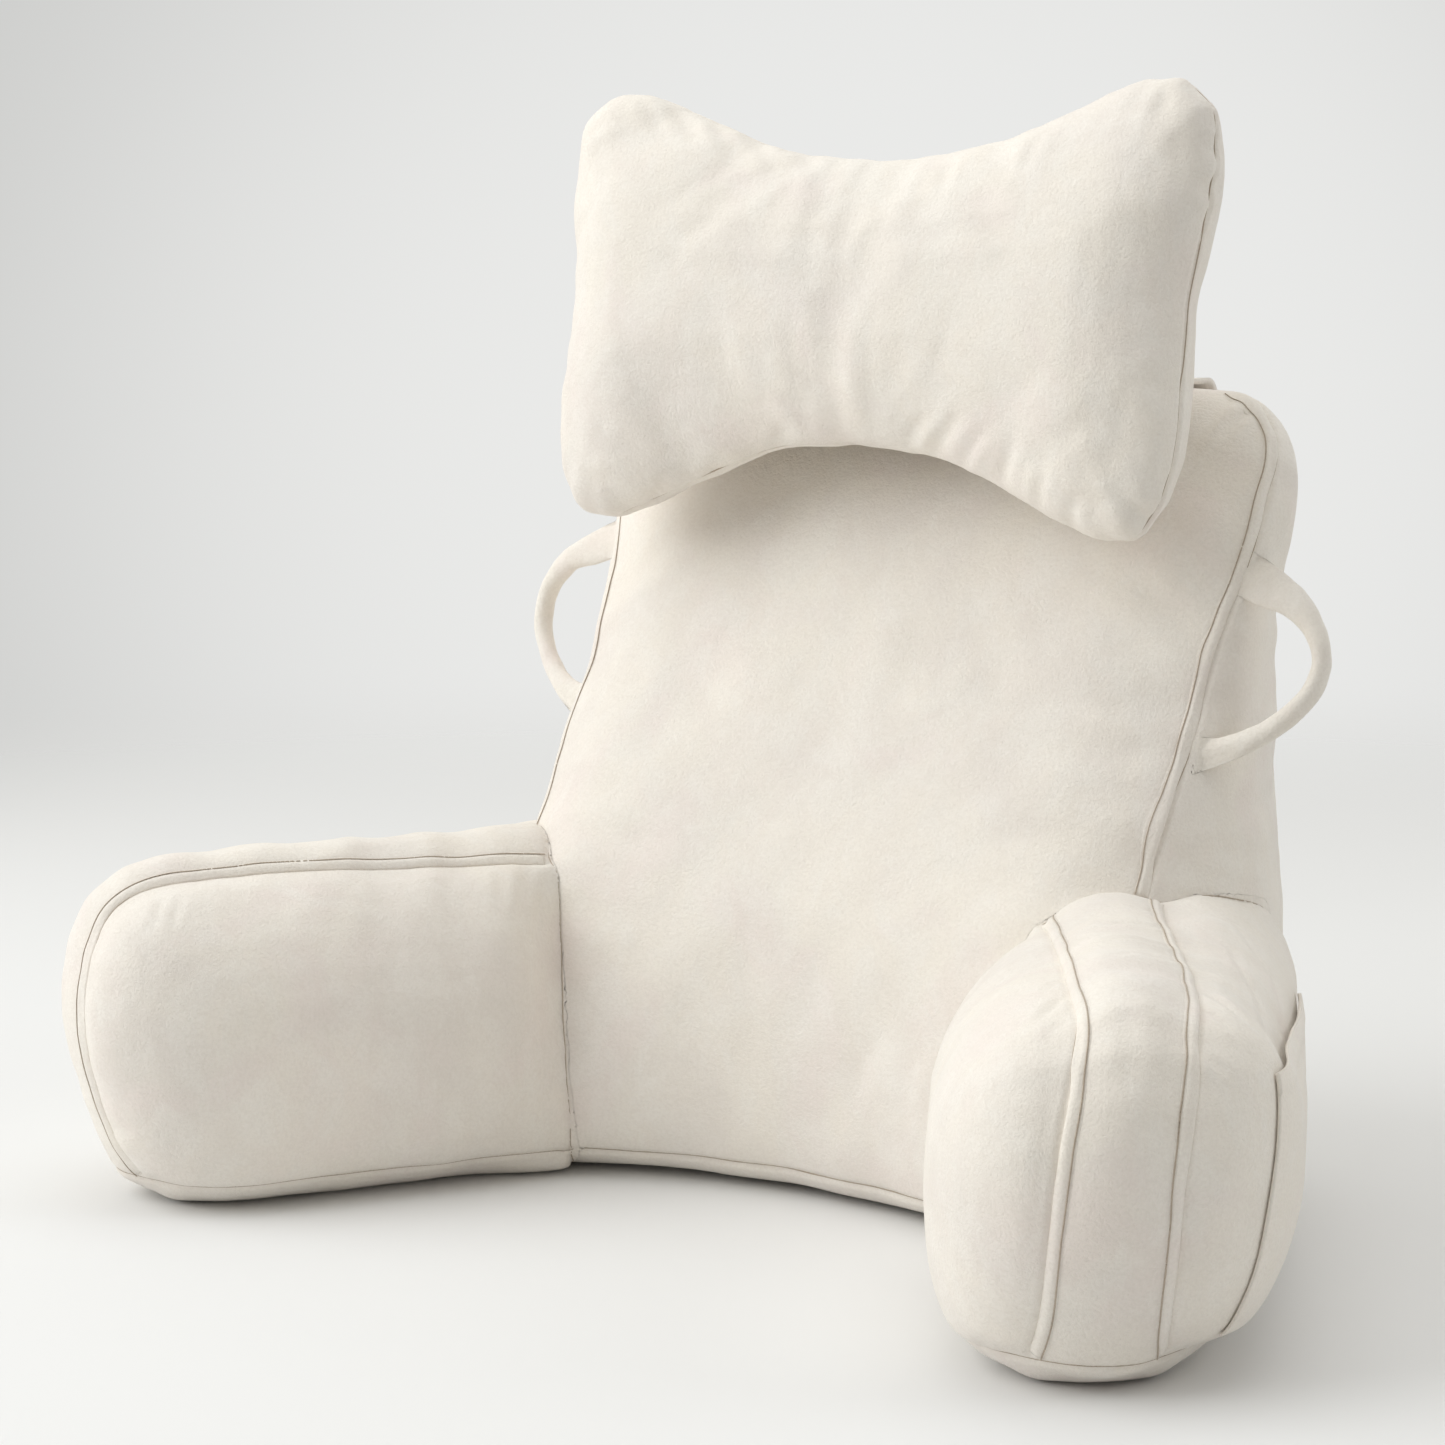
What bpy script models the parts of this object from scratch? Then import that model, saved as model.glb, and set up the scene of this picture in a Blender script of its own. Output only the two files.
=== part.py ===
# Backrest pillow: a wedge-shaped filled back, two filled arms, a bow-tie headrest on a flap
# over the back's top edge, two cloth handles and a patch pocket on one arm.
# Metres, +Z up, the front faces -Y, the origin is the centre of the back's underside.

from math import cos, pi, radians, sin

import bmesh
import bpy
import numpy as np
from mathutils import Vector
from mathutils.bvhtree import BVHTree

# Clearance between pieces that are sewn or lie against each other
SEWN_GAP = 0.0004

# Colours of the one cloth, a little apart so that the pieces can be told from each other
CREAM = (0.80, 0.77, 0.72, 1.0)
CREAM_LIGHT = (0.83, 0.80, 0.75, 1.0)
CREAM_WARM = (0.78, 0.74, 0.68, 1.0)
CLOTH_ROUGHNESS = 0.95
CLOTH_SHEEN = 0.4

# Steps per row of a table when a curve is measured along its length
CURVE_STEPS = 40

# Back cushion: horizontal sections from the floor to the top edge.
# height: of the section; front: Y of the front panel's middle; shoulder: its Y at
# SHOULDER_X, where the arms pull it forward; seam_x, seam_y: its side seam; side_x, side_y:
# the side panel's middle; rear_x, rear_y: the rear corner; rear: Y of the rear's middle.
BACK_COLUMNS = ("height", "front", "shoulder", "seam_x", "seam_y", "side_x", "side_y",
                "rear_x", "rear_y", "rear")
BACK_SECTIONS = (
    (0.000, -0.076, -0.108, 0.220, -0.112, 0.236, 0.000, 0.200, 0.106, 0.126),
    (0.005, -0.089, -0.124, 0.232, -0.128, 0.250, 0.000, 0.214, 0.122, 0.142),
    (0.018, -0.100, -0.138, 0.240, -0.142, 0.260, 0.000, 0.224, 0.133, 0.153),
    (0.060, -0.107, -0.139, 0.243, -0.136, 0.266, 0.004, 0.230, 0.141, 0.163),
    (0.120, -0.107, -0.129, 0.243, -0.118, 0.264, 0.012, 0.228, 0.145, 0.170),
    (0.180, -0.101, -0.114, 0.239, -0.089, 0.260, 0.022, 0.223, 0.147, 0.174),
    (0.224, -0.087, -0.096, 0.235, -0.060, 0.257, 0.032, 0.219, 0.147, 0.176),
    (0.270, -0.066, -0.067, 0.236, -0.034, 0.254, 0.042, 0.215, 0.147, 0.177),
    (0.310, -0.043, -0.038, 0.236, -0.009, 0.253, 0.050, 0.213, 0.147, 0.178),
    (0.357, -0.016, -0.010, 0.238, 0.014, 0.251, 0.060, 0.211, 0.147, 0.178),
    (0.417, 0.015, 0.021, 0.246, 0.044, 0.252, 0.078, 0.210, 0.146, 0.177),
    (0.448, 0.033, 0.038, 0.249, 0.057, 0.251, 0.088, 0.208, 0.144, 0.174),
    (0.475, 0.053, 0.057, 0.247, 0.073, 0.245, 0.098, 0.205, 0.140, 0.168),
    (0.495, 0.073, 0.076, 0.239, 0.088, 0.234, 0.107, 0.200, 0.136, 0.160),
    (0.509, 0.092, 0.094, 0.224, 0.101, 0.218, 0.114, 0.193, 0.132, 0.150),
    (0.517, 0.108, 0.109, 0.202, 0.112, 0.198, 0.119, 0.182, 0.128, 0.141),
)
SHOULDER_X = 0.165
# The shoulder lies no further out than this share of the seam's x
SHOULDER_LIMIT = 0.8
BACK_RINGS = 30
FRONT_MIDDLE_STEPS = 5
FRONT_EDGE_STEPS = 4
SIDE_STEPS = 6
REAR_STEPS = 6
REAR_POWER = 4.0

# Arm: it leaves the back at arm_root and splays outwards. Along: from the root to the end;
# up: height; inner, outer: half widths of the strip between the side panels, towards the
# seat and away from it; crown: how far the strip bulges out; square: how flat it is.
ARM_SPLAY = radians(31.0)
ARM_ROOT = Vector((0.209, -0.078, 0.0))
ARM_COLUMNS = ("along", "up", "inner", "outer", "crown", "square")
ARM_OUTLINE = (
    (-0.100, 0.018, 0.070, 0.088, 0.026, 3.0),
    (0.020, 0.018, 0.076, 0.088, 0.026, 3.0),
    (0.130, 0.018, 0.082, 0.080, 0.026, 3.0),
    (0.210, 0.018, 0.085, 0.068, 0.026, 3.0),
    (0.262, 0.018, 0.070, 0.050, 0.024, 3.0),
    (0.292, 0.023, 0.043, 0.030, 0.014, 2.4),
    (0.307, 0.046, 0.038, 0.031, 0.008, 2.2),
    (0.318, 0.078, 0.035, 0.034, 0.007, 2.0),
    (0.325, 0.115, 0.032, 0.036, 0.007, 2.0),
    (0.324, 0.150, 0.028, 0.040, 0.007, 2.0),
    (0.313, 0.181, 0.023, 0.044, 0.008, 2.0),
    (0.291, 0.199, 0.020, 0.046, 0.011, 2.0),
    (0.254, 0.205, 0.021, 0.047, 0.014, 2.0),
    (0.150, 0.206, 0.025, 0.045, 0.016, 2.0),
    (0.020, 0.207, 0.033, 0.038, 0.013, 2.0),
    (-0.100, 0.212, 0.050, 0.060, 0.008, 2.0),
    (-0.104, 0.115, 0.070, 0.090, 0.000, 2.0),
)
ARM_POINTS = 48
ARM_SHEAR = 0.12
# The arm's top rises outwards at the root: slope there, and where along the arm it fades out
ARM_ROLL = 0.14
ARM_ROLL_END = 0.180
ARM_ROLL_FOOT = 0.050
ARM_MIDDLE_UP = 0.112
ARM_MIDDLE_FROM = -0.045
ARM_MIDDLE_TO = 0.215
# Fullness of the inner and the outer side panel at the root and along the arm
ARM_INNER_ROOT = 0.062
ARM_INNER_FULL = 0.101
ARM_INNER_RISE = 0.150
ARM_OUTER_ROOT = 0.130
ARM_OUTER_END = 0.106

# Headrest: half of its seam outline, from the top's middle round to the bottom's middle.
# x, up: from the headrest's centre; the other half mirrors it.
HEAD_OUTLINE = (
    (0.000, 0.095),
    (0.062, 0.101),
    (0.135, 0.122),
    (0.186, 0.141),
    (0.215, 0.142),
    (0.237, 0.122),
    (0.239, 0.080),
    (0.231, 0.005),
    (0.233, -0.070),
    (0.227, -0.118),
    (0.208, -0.143),
    (0.180, -0.141),
    (0.135, -0.123),
    (0.072, -0.097),
    (0.000, -0.089),
)
HEAD_CENTRE = Vector((0.0, -0.012, 0.567))
HEAD_LEAN = radians(10.0)
HEAD_POINTS = 60
HEAD_RIM = 0.002
HEAD_RIM_CROWN = 0.001
HEAD_RIM_SQUARE = 2.0
HEAD_FRONT_FULL = 0.047
HEAD_REAR_FULL = 0.060
HEAD_WAIST = 0.90
HEAD_MIDDLE = 0.155

# Rings of a panel from its seam towards its middle, and the columns of the strip or rim
# between the two panels
PANEL_RINGS = (0.965, 0.90, 0.80, 0.66, 0.48, 0.26)
STRIP_FRACTIONS = (-1.0, -0.85, -0.6, -0.3, 0.0, 0.3, 0.6, 0.85, 1.0)
RIM_FRACTIONS = (-1.0, 0.0, 1.0)
PANEL_POWER = 2.0
PANEL_ROOT = 0.55

# Flap that holds the headrest, from behind the headrest over the back's top edge and down
# the rear. y, z: its middle line; hug: how far its side edges bend in towards the rear panel.
STRAP_PATH = (
    (0.0536, 0.6040, 0.000),
    (0.0531, 0.5880, 0.000),
    (0.0504, 0.5680, 0.000),
    (0.0512, 0.5480, 0.000),
    (0.0640, 0.5280, 0.000),
    (0.0960, 0.5202, 0.000),
    (0.1240, 0.5190, 0.000),
    (0.1430, 0.5188, 0.001),
    (0.1535, 0.5110, 0.003),
    (0.1612, 0.5000, 0.005),
    (0.1700, 0.4790, 0.007),
    (0.1764, 0.4500, 0.007),
    (0.1801, 0.4100, 0.007),
)
STRAP_POINTS = 24
STRAP_COLUMNS = (-1.0, -0.75, -0.4, 0.4, 0.75, 1.0)
STRAP_HALF_WIDTH = 0.165
STRAP_THICKNESS = 0.003

# Handle: a sewn loop of flat tube out of the back's side seam, right side, top to bottom.
# x, y, z: its middle line; across: half width in the loop's plane; thick: half width square
# to that plane.
HANDLE_PATH = (
    (0.2380, 0.0400, 0.4060, 0.0150, 0.0035),
    (0.2560, 0.0400, 0.3990, 0.0140, 0.0040),
    (0.2800, 0.0380, 0.3880, 0.0105, 0.0070),
    (0.2955, 0.0360, 0.3700, 0.0075, 0.0090),
    (0.3000, 0.0330, 0.3500, 0.0062, 0.0100),
    (0.2940, 0.0260, 0.3320, 0.0065, 0.0095),
    (0.2760, 0.0140, 0.3130, 0.0072, 0.0080),
    (0.2540, 0.0010, 0.3010, 0.0095, 0.0050),
    (0.2300, -0.0090, 0.2950, 0.0135, 0.0035),
)
HANDLE_RINGS = 24
HANDLE_SIDES = 8

# Patch pocket on the right arm's outer side.
# front, front_up: a point of its front edge, along the arm and up it; rear_up: the height
# of the rear edge's point level with it.
POCKET_EDGES = (
    (0.276, 0.030, 0.026),
    (0.282, 0.060, 0.055),
    (0.283, 0.100, 0.092),
    (0.278, 0.140, 0.128),
    (0.267, 0.170, 0.154),
)
POCKET_REAR = -0.020
POCKET_CLOTH = 0.002
POCKET_STAND_OFF = 0.0022
POCKET_GAPE = 0.013
POCKET_ACROSS = 16
POCKET_UP = 9
# Far enough out to look back at the arm's outer side
POCKET_FAR = 0.300


def clear_scene():
    for thing in list(bpy.data.objects):
        bpy.data.objects.remove(thing, do_unlink=True)


def cloth_material(name, colour):
    material = bpy.data.materials.new(name)
    material.use_nodes = True
    shader = material.node_tree.nodes["Principled BSDF"]
    shader.inputs["Base Color"].default_value = colour
    shader.inputs["Roughness"].default_value = CLOTH_ROUGHNESS
    shader.inputs["Metallic"].default_value = 0.0
    shader.inputs["Sheen Weight"].default_value = CLOTH_SHEEN
    material.diffuse_color = colour
    return material


def smooth_rows(rows, count, closed=False):
    """Rows of a table, read at count even steps from a smooth curve through them."""
    table = np.array(rows, dtype=float)
    last = len(table) if closed else len(table) - 1
    steps = np.linspace(0.0, last, count, endpoint=not closed)
    result = []
    for step in steps:
        start = min(int(step), last - 1)
        part = step - start
        near = [start - 1, start, start + 1, start + 2]
        if closed:
            near = [index % len(table) for index in near]
        else:
            near = [min(max(index, 0), len(table) - 1) for index in near]
        before, here, after, beyond = (table[index] for index in near)
        result.append(0.5 * (2 * here + (after - before) * part
                             + (2 * before - 5 * here + 4 * after - beyond) * part ** 2
                             + (3 * here - before - 3 * after + beyond) * part ** 3))
    return np.array(result)


def even_rows(rows, count, closed=False):
    """A smooth curve through the rows, read at even distances in its first two columns."""
    fine = smooth_rows(rows, CURVE_STEPS * len(rows), closed)
    if closed:
        fine = np.vstack([fine, fine[:1]])
    runs = np.linalg.norm(np.diff(fine[:, :2], axis=0), axis=1)
    travelled = np.concatenate([[0.0], np.cumsum(runs)])
    places = np.linspace(0.0, travelled[-1], count, endpoint=not closed)
    return np.stack([np.interp(places, travelled, column) for column in fine.T], axis=1)


def add_body(name, points, faces, material):
    mesh = bpy.data.meshes.new(name)
    mesh.from_pydata([tuple(point) for point in points], [], faces)
    body = bmesh.new()
    body.from_mesh(mesh)
    bmesh.ops.triangulate(body, faces=body.faces[:])
    bmesh.ops.recalc_face_normals(body, faces=body.faces[:])
    body.to_mesh(mesh)
    body.free()
    mesh.shade_smooth()
    mesh.materials.append(material)
    thing = bpy.data.objects.new(name, mesh)
    bpy.context.collection.objects.link(thing)
    return thing


def bridge_rings(ring_count, size, cap_first=True, cap_last=True):
    """Faces between rings of size points each, with both ends capped."""
    faces = []
    for ring in range(ring_count - 1):
        for step in range(size):
            following = (step + 1) % size
            faces.append((ring * size + step, ring * size + following,
                          (ring + 1) * size + following, (ring + 1) * size + step))
    if cap_first:
        faces.append(tuple(range(size)))
    if cap_last:
        faces.append(tuple(range((ring_count - 1) * size, ring_count * size)))
    return faces


def back_section(row):
    """One closed horizontal section of the back, from the front's middle round +X."""
    value = dict(zip(BACK_COLUMNS, row))
    half = []
    lean = (value["shoulder"] - value["front"]) / SHOULDER_X ** 2
    shoulder_x = min(SHOULDER_X, SHOULDER_LIMIT * value["seam_x"])
    for step in range(FRONT_MIDDLE_STEPS):
        x = shoulder_x * step / FRONT_MIDDLE_STEPS
        half.append((x, value["front"] + lean * x ** 2))
    slope = 2 * lean * shoulder_x
    shoulder_y = value["front"] + lean * shoulder_x ** 2
    width = value["seam_x"] - shoulder_x
    bend = (value["seam_y"] - shoulder_y - slope * width) / width ** 2
    for step in range(FRONT_EDGE_STEPS):
        past = width * step / FRONT_EDGE_STEPS
        half.append((shoulder_x + past, shoulder_y + slope * past + bend * past ** 2))
    seam = np.array((value["seam_x"], value["seam_y"]))
    rear = np.array((value["rear_x"], value["rear_y"]))
    side = 2 * np.array((value["side_x"], value["side_y"])) - (seam + rear) / 2
    for step in range(SIDE_STEPS):
        part = step / SIDE_STEPS
        point = (1 - part) ** 2 * seam + 2 * part * (1 - part) * side + part ** 2 * rear
        half.append(tuple(point))
    for step in range(REAR_STEPS + 1):
        part = 1.0 - step / REAR_STEPS
        x = value["rear_x"] * part
        y = value["rear"] - (value["rear"] - value["rear_y"]) * part ** REAR_POWER
        half.append((x, y))
    mirrored = [(-x, y) for x, y in half[-2:0:-1]]
    return [(x, y, value["height"]) for x, y in half + mirrored]


def make_back(material):
    rings = [back_section(row) for row in smooth_rows(BACK_SECTIONS, BACK_RINGS)]
    points = [point for ring in rings for point in ring]
    faces = bridge_rings(len(rings), len(rings[0]))
    return add_body("back_cushion", points, faces, material)


def make_clearance(back, material):
    """The back, swollen by the gap between sewn pieces; it trims what is sewn to the back."""
    mesh = back.data.copy()
    for vertex, normal in zip(mesh.vertices, [Vector(v.normal) for v in back.data.vertices]):
        vertex.co += normal * SEWN_GAP
    guide = bpy.data.objects.new("back_clearance", mesh)
    bpy.context.collection.objects.link(guide)
    guide.hide_render = True
    guide.display_type = "WIRE"
    return guide


def trim_to_back(thing, guide):
    trim = thing.modifiers.new("trim_to_back", "BOOLEAN")
    trim.operation = "DIFFERENCE"
    trim.solver = "EXACT"
    trim.object = guide


def outline_normals(outline):
    ahead = np.roll(outline, -1, axis=0) - np.roll(outline, 1, axis=0)
    ahead /= np.linalg.norm(ahead, axis=1)[:, None]
    return np.stack([ahead[:, 1], -ahead[:, 0]], axis=1)


def boxed_cushion(outline, strip, fractions, middle, full):
    """Points and faces of a cushion: two crowned panels sewn to a strip round their outline.

    outline: points (u, v) of the seam, anticlockwise; strip: for each its two half widths,
    crown, squareness and lowest v; fractions: where the strip's columns lie across it;
    middle: for each the panels' middle (u, v) that it runs to; full: for each the fullness
    of the two panels there. The result's points are (u, w, v).
    """
    normals = outline_normals(outline)
    size = len(outline)
    rings = []

    def panel_ring(side, share):
        ring = []
        for here, centre, widths, fullness in zip(outline, middle, strip, full):
            place = centre + (here - centre) * share
            swell = (1.0 - share ** PANEL_POWER) ** PANEL_ROOT
            reach = widths[side] + (fullness[side] - widths[side]) * swell
            ring.append((place[0], reach * (-1.0, 1.0)[side], place[1]))
        return ring

    for share in reversed(PANEL_RINGS):
        rings.append(panel_ring(0, share))
    for fraction in fractions:
        side = 0 if fraction < 0 else 1
        ring = []
        for here, normal, widths in zip(outline, normals, strip):
            out = widths[2] * (1.0 - abs(fraction) ** widths[3])
            place = here + normal * out
            ring.append((place[0], widths[side] * fraction, max(place[1], widths[4])))
        rings.append(ring)
    for share in PANEL_RINGS:
        rings.append(panel_ring(1, share))
    points = [point for ring in rings for point in ring]
    return points, bridge_rings(len(rings), size)


def make_arm(name, side, material):
    """side is 1 for the arm at +X and -1 for its mirror image."""
    rows = even_rows(ARM_OUTLINE, ARM_POINTS, closed=True)
    column = {key: rows[:, index] for index, key in enumerate(ARM_COLUMNS)}
    outline = np.stack([column["along"], np.maximum(column["up"], 0.0)], axis=1)
    floor = np.zeros(len(rows))
    strip = np.stack([column["inner"], column["outer"], np.maximum(column["crown"], 0.0),
                      column["square"], floor], axis=1)
    middle_along = np.clip(column["along"], ARM_MIDDLE_FROM, ARM_MIDDLE_TO)
    middle = np.stack([middle_along, np.full(len(rows), ARM_MIDDLE_UP)], axis=1)
    share = (middle_along - ARM_MIDDLE_FROM) / (ARM_MIDDLE_TO - ARM_MIDDLE_FROM)
    outer_full = ARM_OUTER_ROOT + (ARM_OUTER_END - ARM_OUTER_ROOT) * share
    rise = np.clip((middle_along - ARM_MIDDLE_FROM) / ARM_INNER_RISE, 0.0, 1.0)
    inner_full = ARM_INNER_ROOT + (ARM_INNER_FULL - ARM_INNER_ROOT) * rise * (2.0 - rise)
    full = np.stack([inner_full, outer_full], axis=1)
    points, faces = boxed_cushion(outline, strip, STRIP_FRACTIONS, middle, full)
    ahead = Vector((sin(ARM_SPLAY), -cos(ARM_SPLAY), 0.0))
    outwards = Vector((cos(ARM_SPLAY), sin(ARM_SPLAY), 0.0))
    placed = []
    for along, across, up in points:
        place = ARM_ROOT + ahead * (along - ARM_SHEAR * across) + outwards * across
        fade = min(max(1.0 - along / ARM_ROLL_END, 0.0), 1.0)
        height = min(max(up / ARM_ROLL_FOOT - 1.0, 0.0), 1.0)
        placed.append((side * place.x, place.y, up + ARM_ROLL * across * fade * height))
    return add_body(name, placed, faces, material)


def make_headrest(material):
    half = list(HEAD_OUTLINE)
    mirrored = [(-x, up) for x, up in half[-2:0:-1]]
    rows = even_rows(half + mirrored, HEAD_POINTS, closed=True)[::-1]
    size = len(rows)
    lowest = rows[:, 1].min() - HEAD_RIM_CROWN
    rim = (HEAD_RIM, HEAD_RIM, HEAD_RIM_CROWN, HEAD_RIM_SQUARE, lowest)
    strip = np.tile(rim, (size, 1))
    middle = np.stack([np.clip(rows[:, 0], -HEAD_MIDDLE, HEAD_MIDDLE), np.zeros(size)], axis=1)
    share = np.abs(middle[:, 0]) / HEAD_MIDDLE
    fullness = HEAD_WAIST + (1.0 - HEAD_WAIST) * share
    full = np.stack([HEAD_FRONT_FULL * fullness, HEAD_REAR_FULL * fullness], axis=1)
    points, faces = boxed_cushion(rows, strip, RIM_FRACTIONS, middle, full)
    up_axis = Vector((0.0, sin(HEAD_LEAN), cos(HEAD_LEAN)))
    back_axis = Vector((0.0, cos(HEAD_LEAN), -sin(HEAD_LEAN)))
    placed = []
    for x, depth, up in points:
        place = HEAD_CENTRE + back_axis * depth + up_axis * up
        placed.append((x, place.y, place.z))
    return add_body("headrest", placed, faces, material)


def make_strap(material):
    rows = even_rows(STRAP_PATH, STRAP_POINTS)
    path = rows[:, :2]
    ahead = np.gradient(path, axis=0)
    ahead /= np.linalg.norm(ahead, axis=1)[:, None]
    square = np.stack([-ahead[:, 1], ahead[:, 0]], axis=1) * STRAP_THICKNESS / 2
    points = []
    for here, out, hug in zip(path, square, rows[:, 2]):
        for share in STRAP_COLUMNS:
            place = here - out
            points.append((STRAP_HALF_WIDTH * share, place[0] - hug * share ** 4, place[1]))
        for share in reversed(STRAP_COLUMNS):
            place = here + out
            points.append((STRAP_HALF_WIDTH * share, place[0] - hug * share ** 4, place[1]))
    faces = bridge_rings(STRAP_POINTS, 2 * len(STRAP_COLUMNS))
    return add_body("headrest_strap", points, faces, material)


def make_handle(name, side, material):
    rows = smooth_rows(HANDLE_PATH, HANDLE_RINGS)
    path = rows[:, :3]
    ahead = np.gradient(path, axis=0)
    chord = path[0] - path[-1]
    plane = np.cross(chord, (1.0, 0.0, 0.0))
    plane /= np.linalg.norm(plane)
    points = []
    for here, direction, across, thick in zip(path, ahead, rows[:, 3], rows[:, 4]):
        inwards = np.cross(direction, plane)
        inwards /= np.linalg.norm(inwards)
        for step in range(HANDLE_SIDES):
            turn = 2 * pi * step / HANDLE_SIDES
            place = here + inwards * across * cos(turn) + plane * thick * sin(turn)
            points.append((side * place[0], place[1], place[2]))
    return add_body(name, points, bridge_rings(HANDLE_RINGS, HANDLE_SIDES), material)


def make_pocket(arm, material):
    """A cloth patch laid on the arm's outer side, which stands off towards its mouth."""
    surface = BVHTree.FromObject(arm, bpy.context.evaluated_depsgraph_get())
    ahead = Vector((sin(ARM_SPLAY), -cos(ARM_SPLAY), 0.0))
    outwards = Vector((cos(ARM_SPLAY), sin(ARM_SPLAY), 0.0))
    edges = smooth_rows(POCKET_EDGES, POCKET_UP)
    inner = []
    outer = []
    for row, (front, front_up, rear_up) in enumerate(edges):
        rise = row / (POCKET_UP - 1)
        for column in range(POCKET_ACROSS):
            part = column / (POCKET_ACROSS - 1)
            along = front + (POCKET_REAR - front) * part
            up = front_up + (rear_up - front_up) * part
            start = ARM_ROOT + ahead * along + outwards * POCKET_FAR + Vector((0.0, 0.0, up))
            place, normal, _, _ = surface.ray_cast(start, -outwards)
            gap = POCKET_STAND_OFF + POCKET_GAPE * sin(pi * part) * rise ** 2
            inner.append(place + normal * gap)
            outer.append(place + normal * (gap + POCKET_CLOTH))
    size = POCKET_ACROSS
    count = size * POCKET_UP
    faces = []
    for row in range(POCKET_UP - 1):
        for column in range(size - 1):
            corner = row * size + column
            quad = (corner, corner + 1, corner + size + 1, corner + size)
            faces.append(quad)
            faces.append(tuple(count + index for index in reversed(quad)))
    rim = list(range(size))
    rim += [size * (row + 1) - 1 for row in range(1, POCKET_UP)]
    rim += list(range(count - 2, count - size - 1, -1))
    rim += [size * row for row in range(POCKET_UP - 2, 0, -1)]
    for here, following in zip(rim, rim[1:] + rim[:1]):
        faces.append((following, here, count + here, count + following))
    return add_body("pocket", inner + outer, faces, material)


def main():
    clear_scene()
    cream = cloth_material("cream_cloth", CREAM)
    light = cloth_material("cream_cloth_light", CREAM_LIGHT)
    warm = cloth_material("cream_cloth_warm", CREAM_WARM)
    back = make_back(cream)
    guide = make_clearance(back, cream)
    arm_right = make_arm("arm_right", 1.0, light)
    arm_left = make_arm("arm_left", -1.0, light)
    make_pocket(arm_right, warm)
    make_headrest(light)
    make_strap(warm)
    handle_right = make_handle("handle_right", 1.0, warm)
    handle_left = make_handle("handle_left", -1.0, warm)
    for thing in (arm_right, arm_left, handle_right, handle_left):
        trim_to_back(thing, guide)


main()
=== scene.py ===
from math import cos, pi, radians, sin

import bmesh
import bpy
import numpy as np
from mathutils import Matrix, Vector
from mathutils.bvhtree import BVHTree
from mathutils.kdtree import KDTree


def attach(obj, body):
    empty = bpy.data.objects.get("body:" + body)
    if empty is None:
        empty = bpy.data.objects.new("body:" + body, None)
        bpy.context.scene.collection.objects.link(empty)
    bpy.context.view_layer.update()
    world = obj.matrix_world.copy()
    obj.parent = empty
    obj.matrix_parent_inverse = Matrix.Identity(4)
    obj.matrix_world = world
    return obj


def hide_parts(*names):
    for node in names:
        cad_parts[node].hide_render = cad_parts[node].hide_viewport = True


# Backrest pillow in cream short-pile cloth. Metres, +Z up, the front faces -Y.

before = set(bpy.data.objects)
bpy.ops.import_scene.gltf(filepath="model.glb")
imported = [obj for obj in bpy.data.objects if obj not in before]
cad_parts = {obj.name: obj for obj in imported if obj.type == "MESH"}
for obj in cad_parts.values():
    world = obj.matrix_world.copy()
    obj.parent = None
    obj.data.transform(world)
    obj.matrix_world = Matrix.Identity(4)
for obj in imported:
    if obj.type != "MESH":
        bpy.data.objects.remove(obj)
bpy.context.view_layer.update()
scene = bpy.context.scene
print("frame loaded")

# The camera comes first: some folds are placed by where they show in the photo

photoView = {
    "place": (1.2568, -1.962, 0.6058),
    "azimuth": 35.12,     # degrees, from -Y towards +X
    "down": 7.53,         # degrees below level
    "pixels": 1445,       # the photo's side
    "focal": 3600.0,      # in photo pixels
    "sensor": 36.0,       # mm
}

cameraData = bpy.data.cameras.new("photoCamera")
camera = bpy.data.objects.new("photoCamera", cameraData)
scene.collection.objects.link(camera)
camera.location = photoView["place"]
camera.rotation_euler = (radians(90.0 - photoView["down"]), 0.0, radians(photoView["azimuth"]))
cameraData.sensor_width = photoView["sensor"]
cameraData.lens = photoView["focal"] / photoView["pixels"] * photoView["sensor"]
cameraData.clip_start = 0.05
cameraData.clip_end = 60.0
cameraData.dof.use_dof = False
scene.camera = camera
scene.view_settings.view_transform = "Standard"
cameraTurn = camera.rotation_euler.to_matrix()


def photoRay(x, y):
    half = photoView["pixels"] / 2
    aim = Vector((x - half, half - y, -photoView["focal"]))
    return Vector(photoView["place"]), (cameraTurn @ aim).normalized()


# Small helpers for meshes and lines

def readPoints(mesh):
    flat = np.zeros(len(mesh.vertices) * 3, dtype=np.float32)
    mesh.vertices.foreach_get("co", flat)
    return flat.reshape(-1, 3).astype(float)


def readNormals(mesh):
    flat = np.zeros(len(mesh.vertices) * 3, dtype=np.float32)
    mesh.vertices.foreach_get("normal", flat)
    return flat.reshape(-1, 3).astype(float)


def writePoints(mesh, points):
    mesh.vertices.foreach_set("co", points.astype(np.float32).ravel())
    mesh.update()


def pickOnly(piece):
    bpy.ops.object.select_all(action="DESELECT")
    piece.select_set(True)
    bpy.context.view_layer.objects.active = piece


def applyModifier(piece, modifier):
    pickOnly(piece)
    bpy.ops.object.modifier_apply(modifier=modifier.name)


def newPiece(name, points, faces, material):
    mesh = bpy.data.meshes.new(name)
    mesh.from_pydata([tuple(point) for point in points], [], faces)
    mesh.materials.append(material)
    work = bmesh.new()
    work.from_mesh(mesh)
    bmesh.ops.recalc_face_normals(work, faces=work.faces[:])
    work.to_mesh(mesh)
    work.free()
    mesh.shade_smooth()
    piece = bpy.data.objects.new(name, mesh)
    scene.collection.objects.link(piece)
    return piece


def surfaceOf(piece):
    faces = [tuple(face.vertices) for face in piece.data.polygons]
    return BVHTree.FromPolygons([tuple(point) for point in readPoints(piece.data)], faces)


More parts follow.
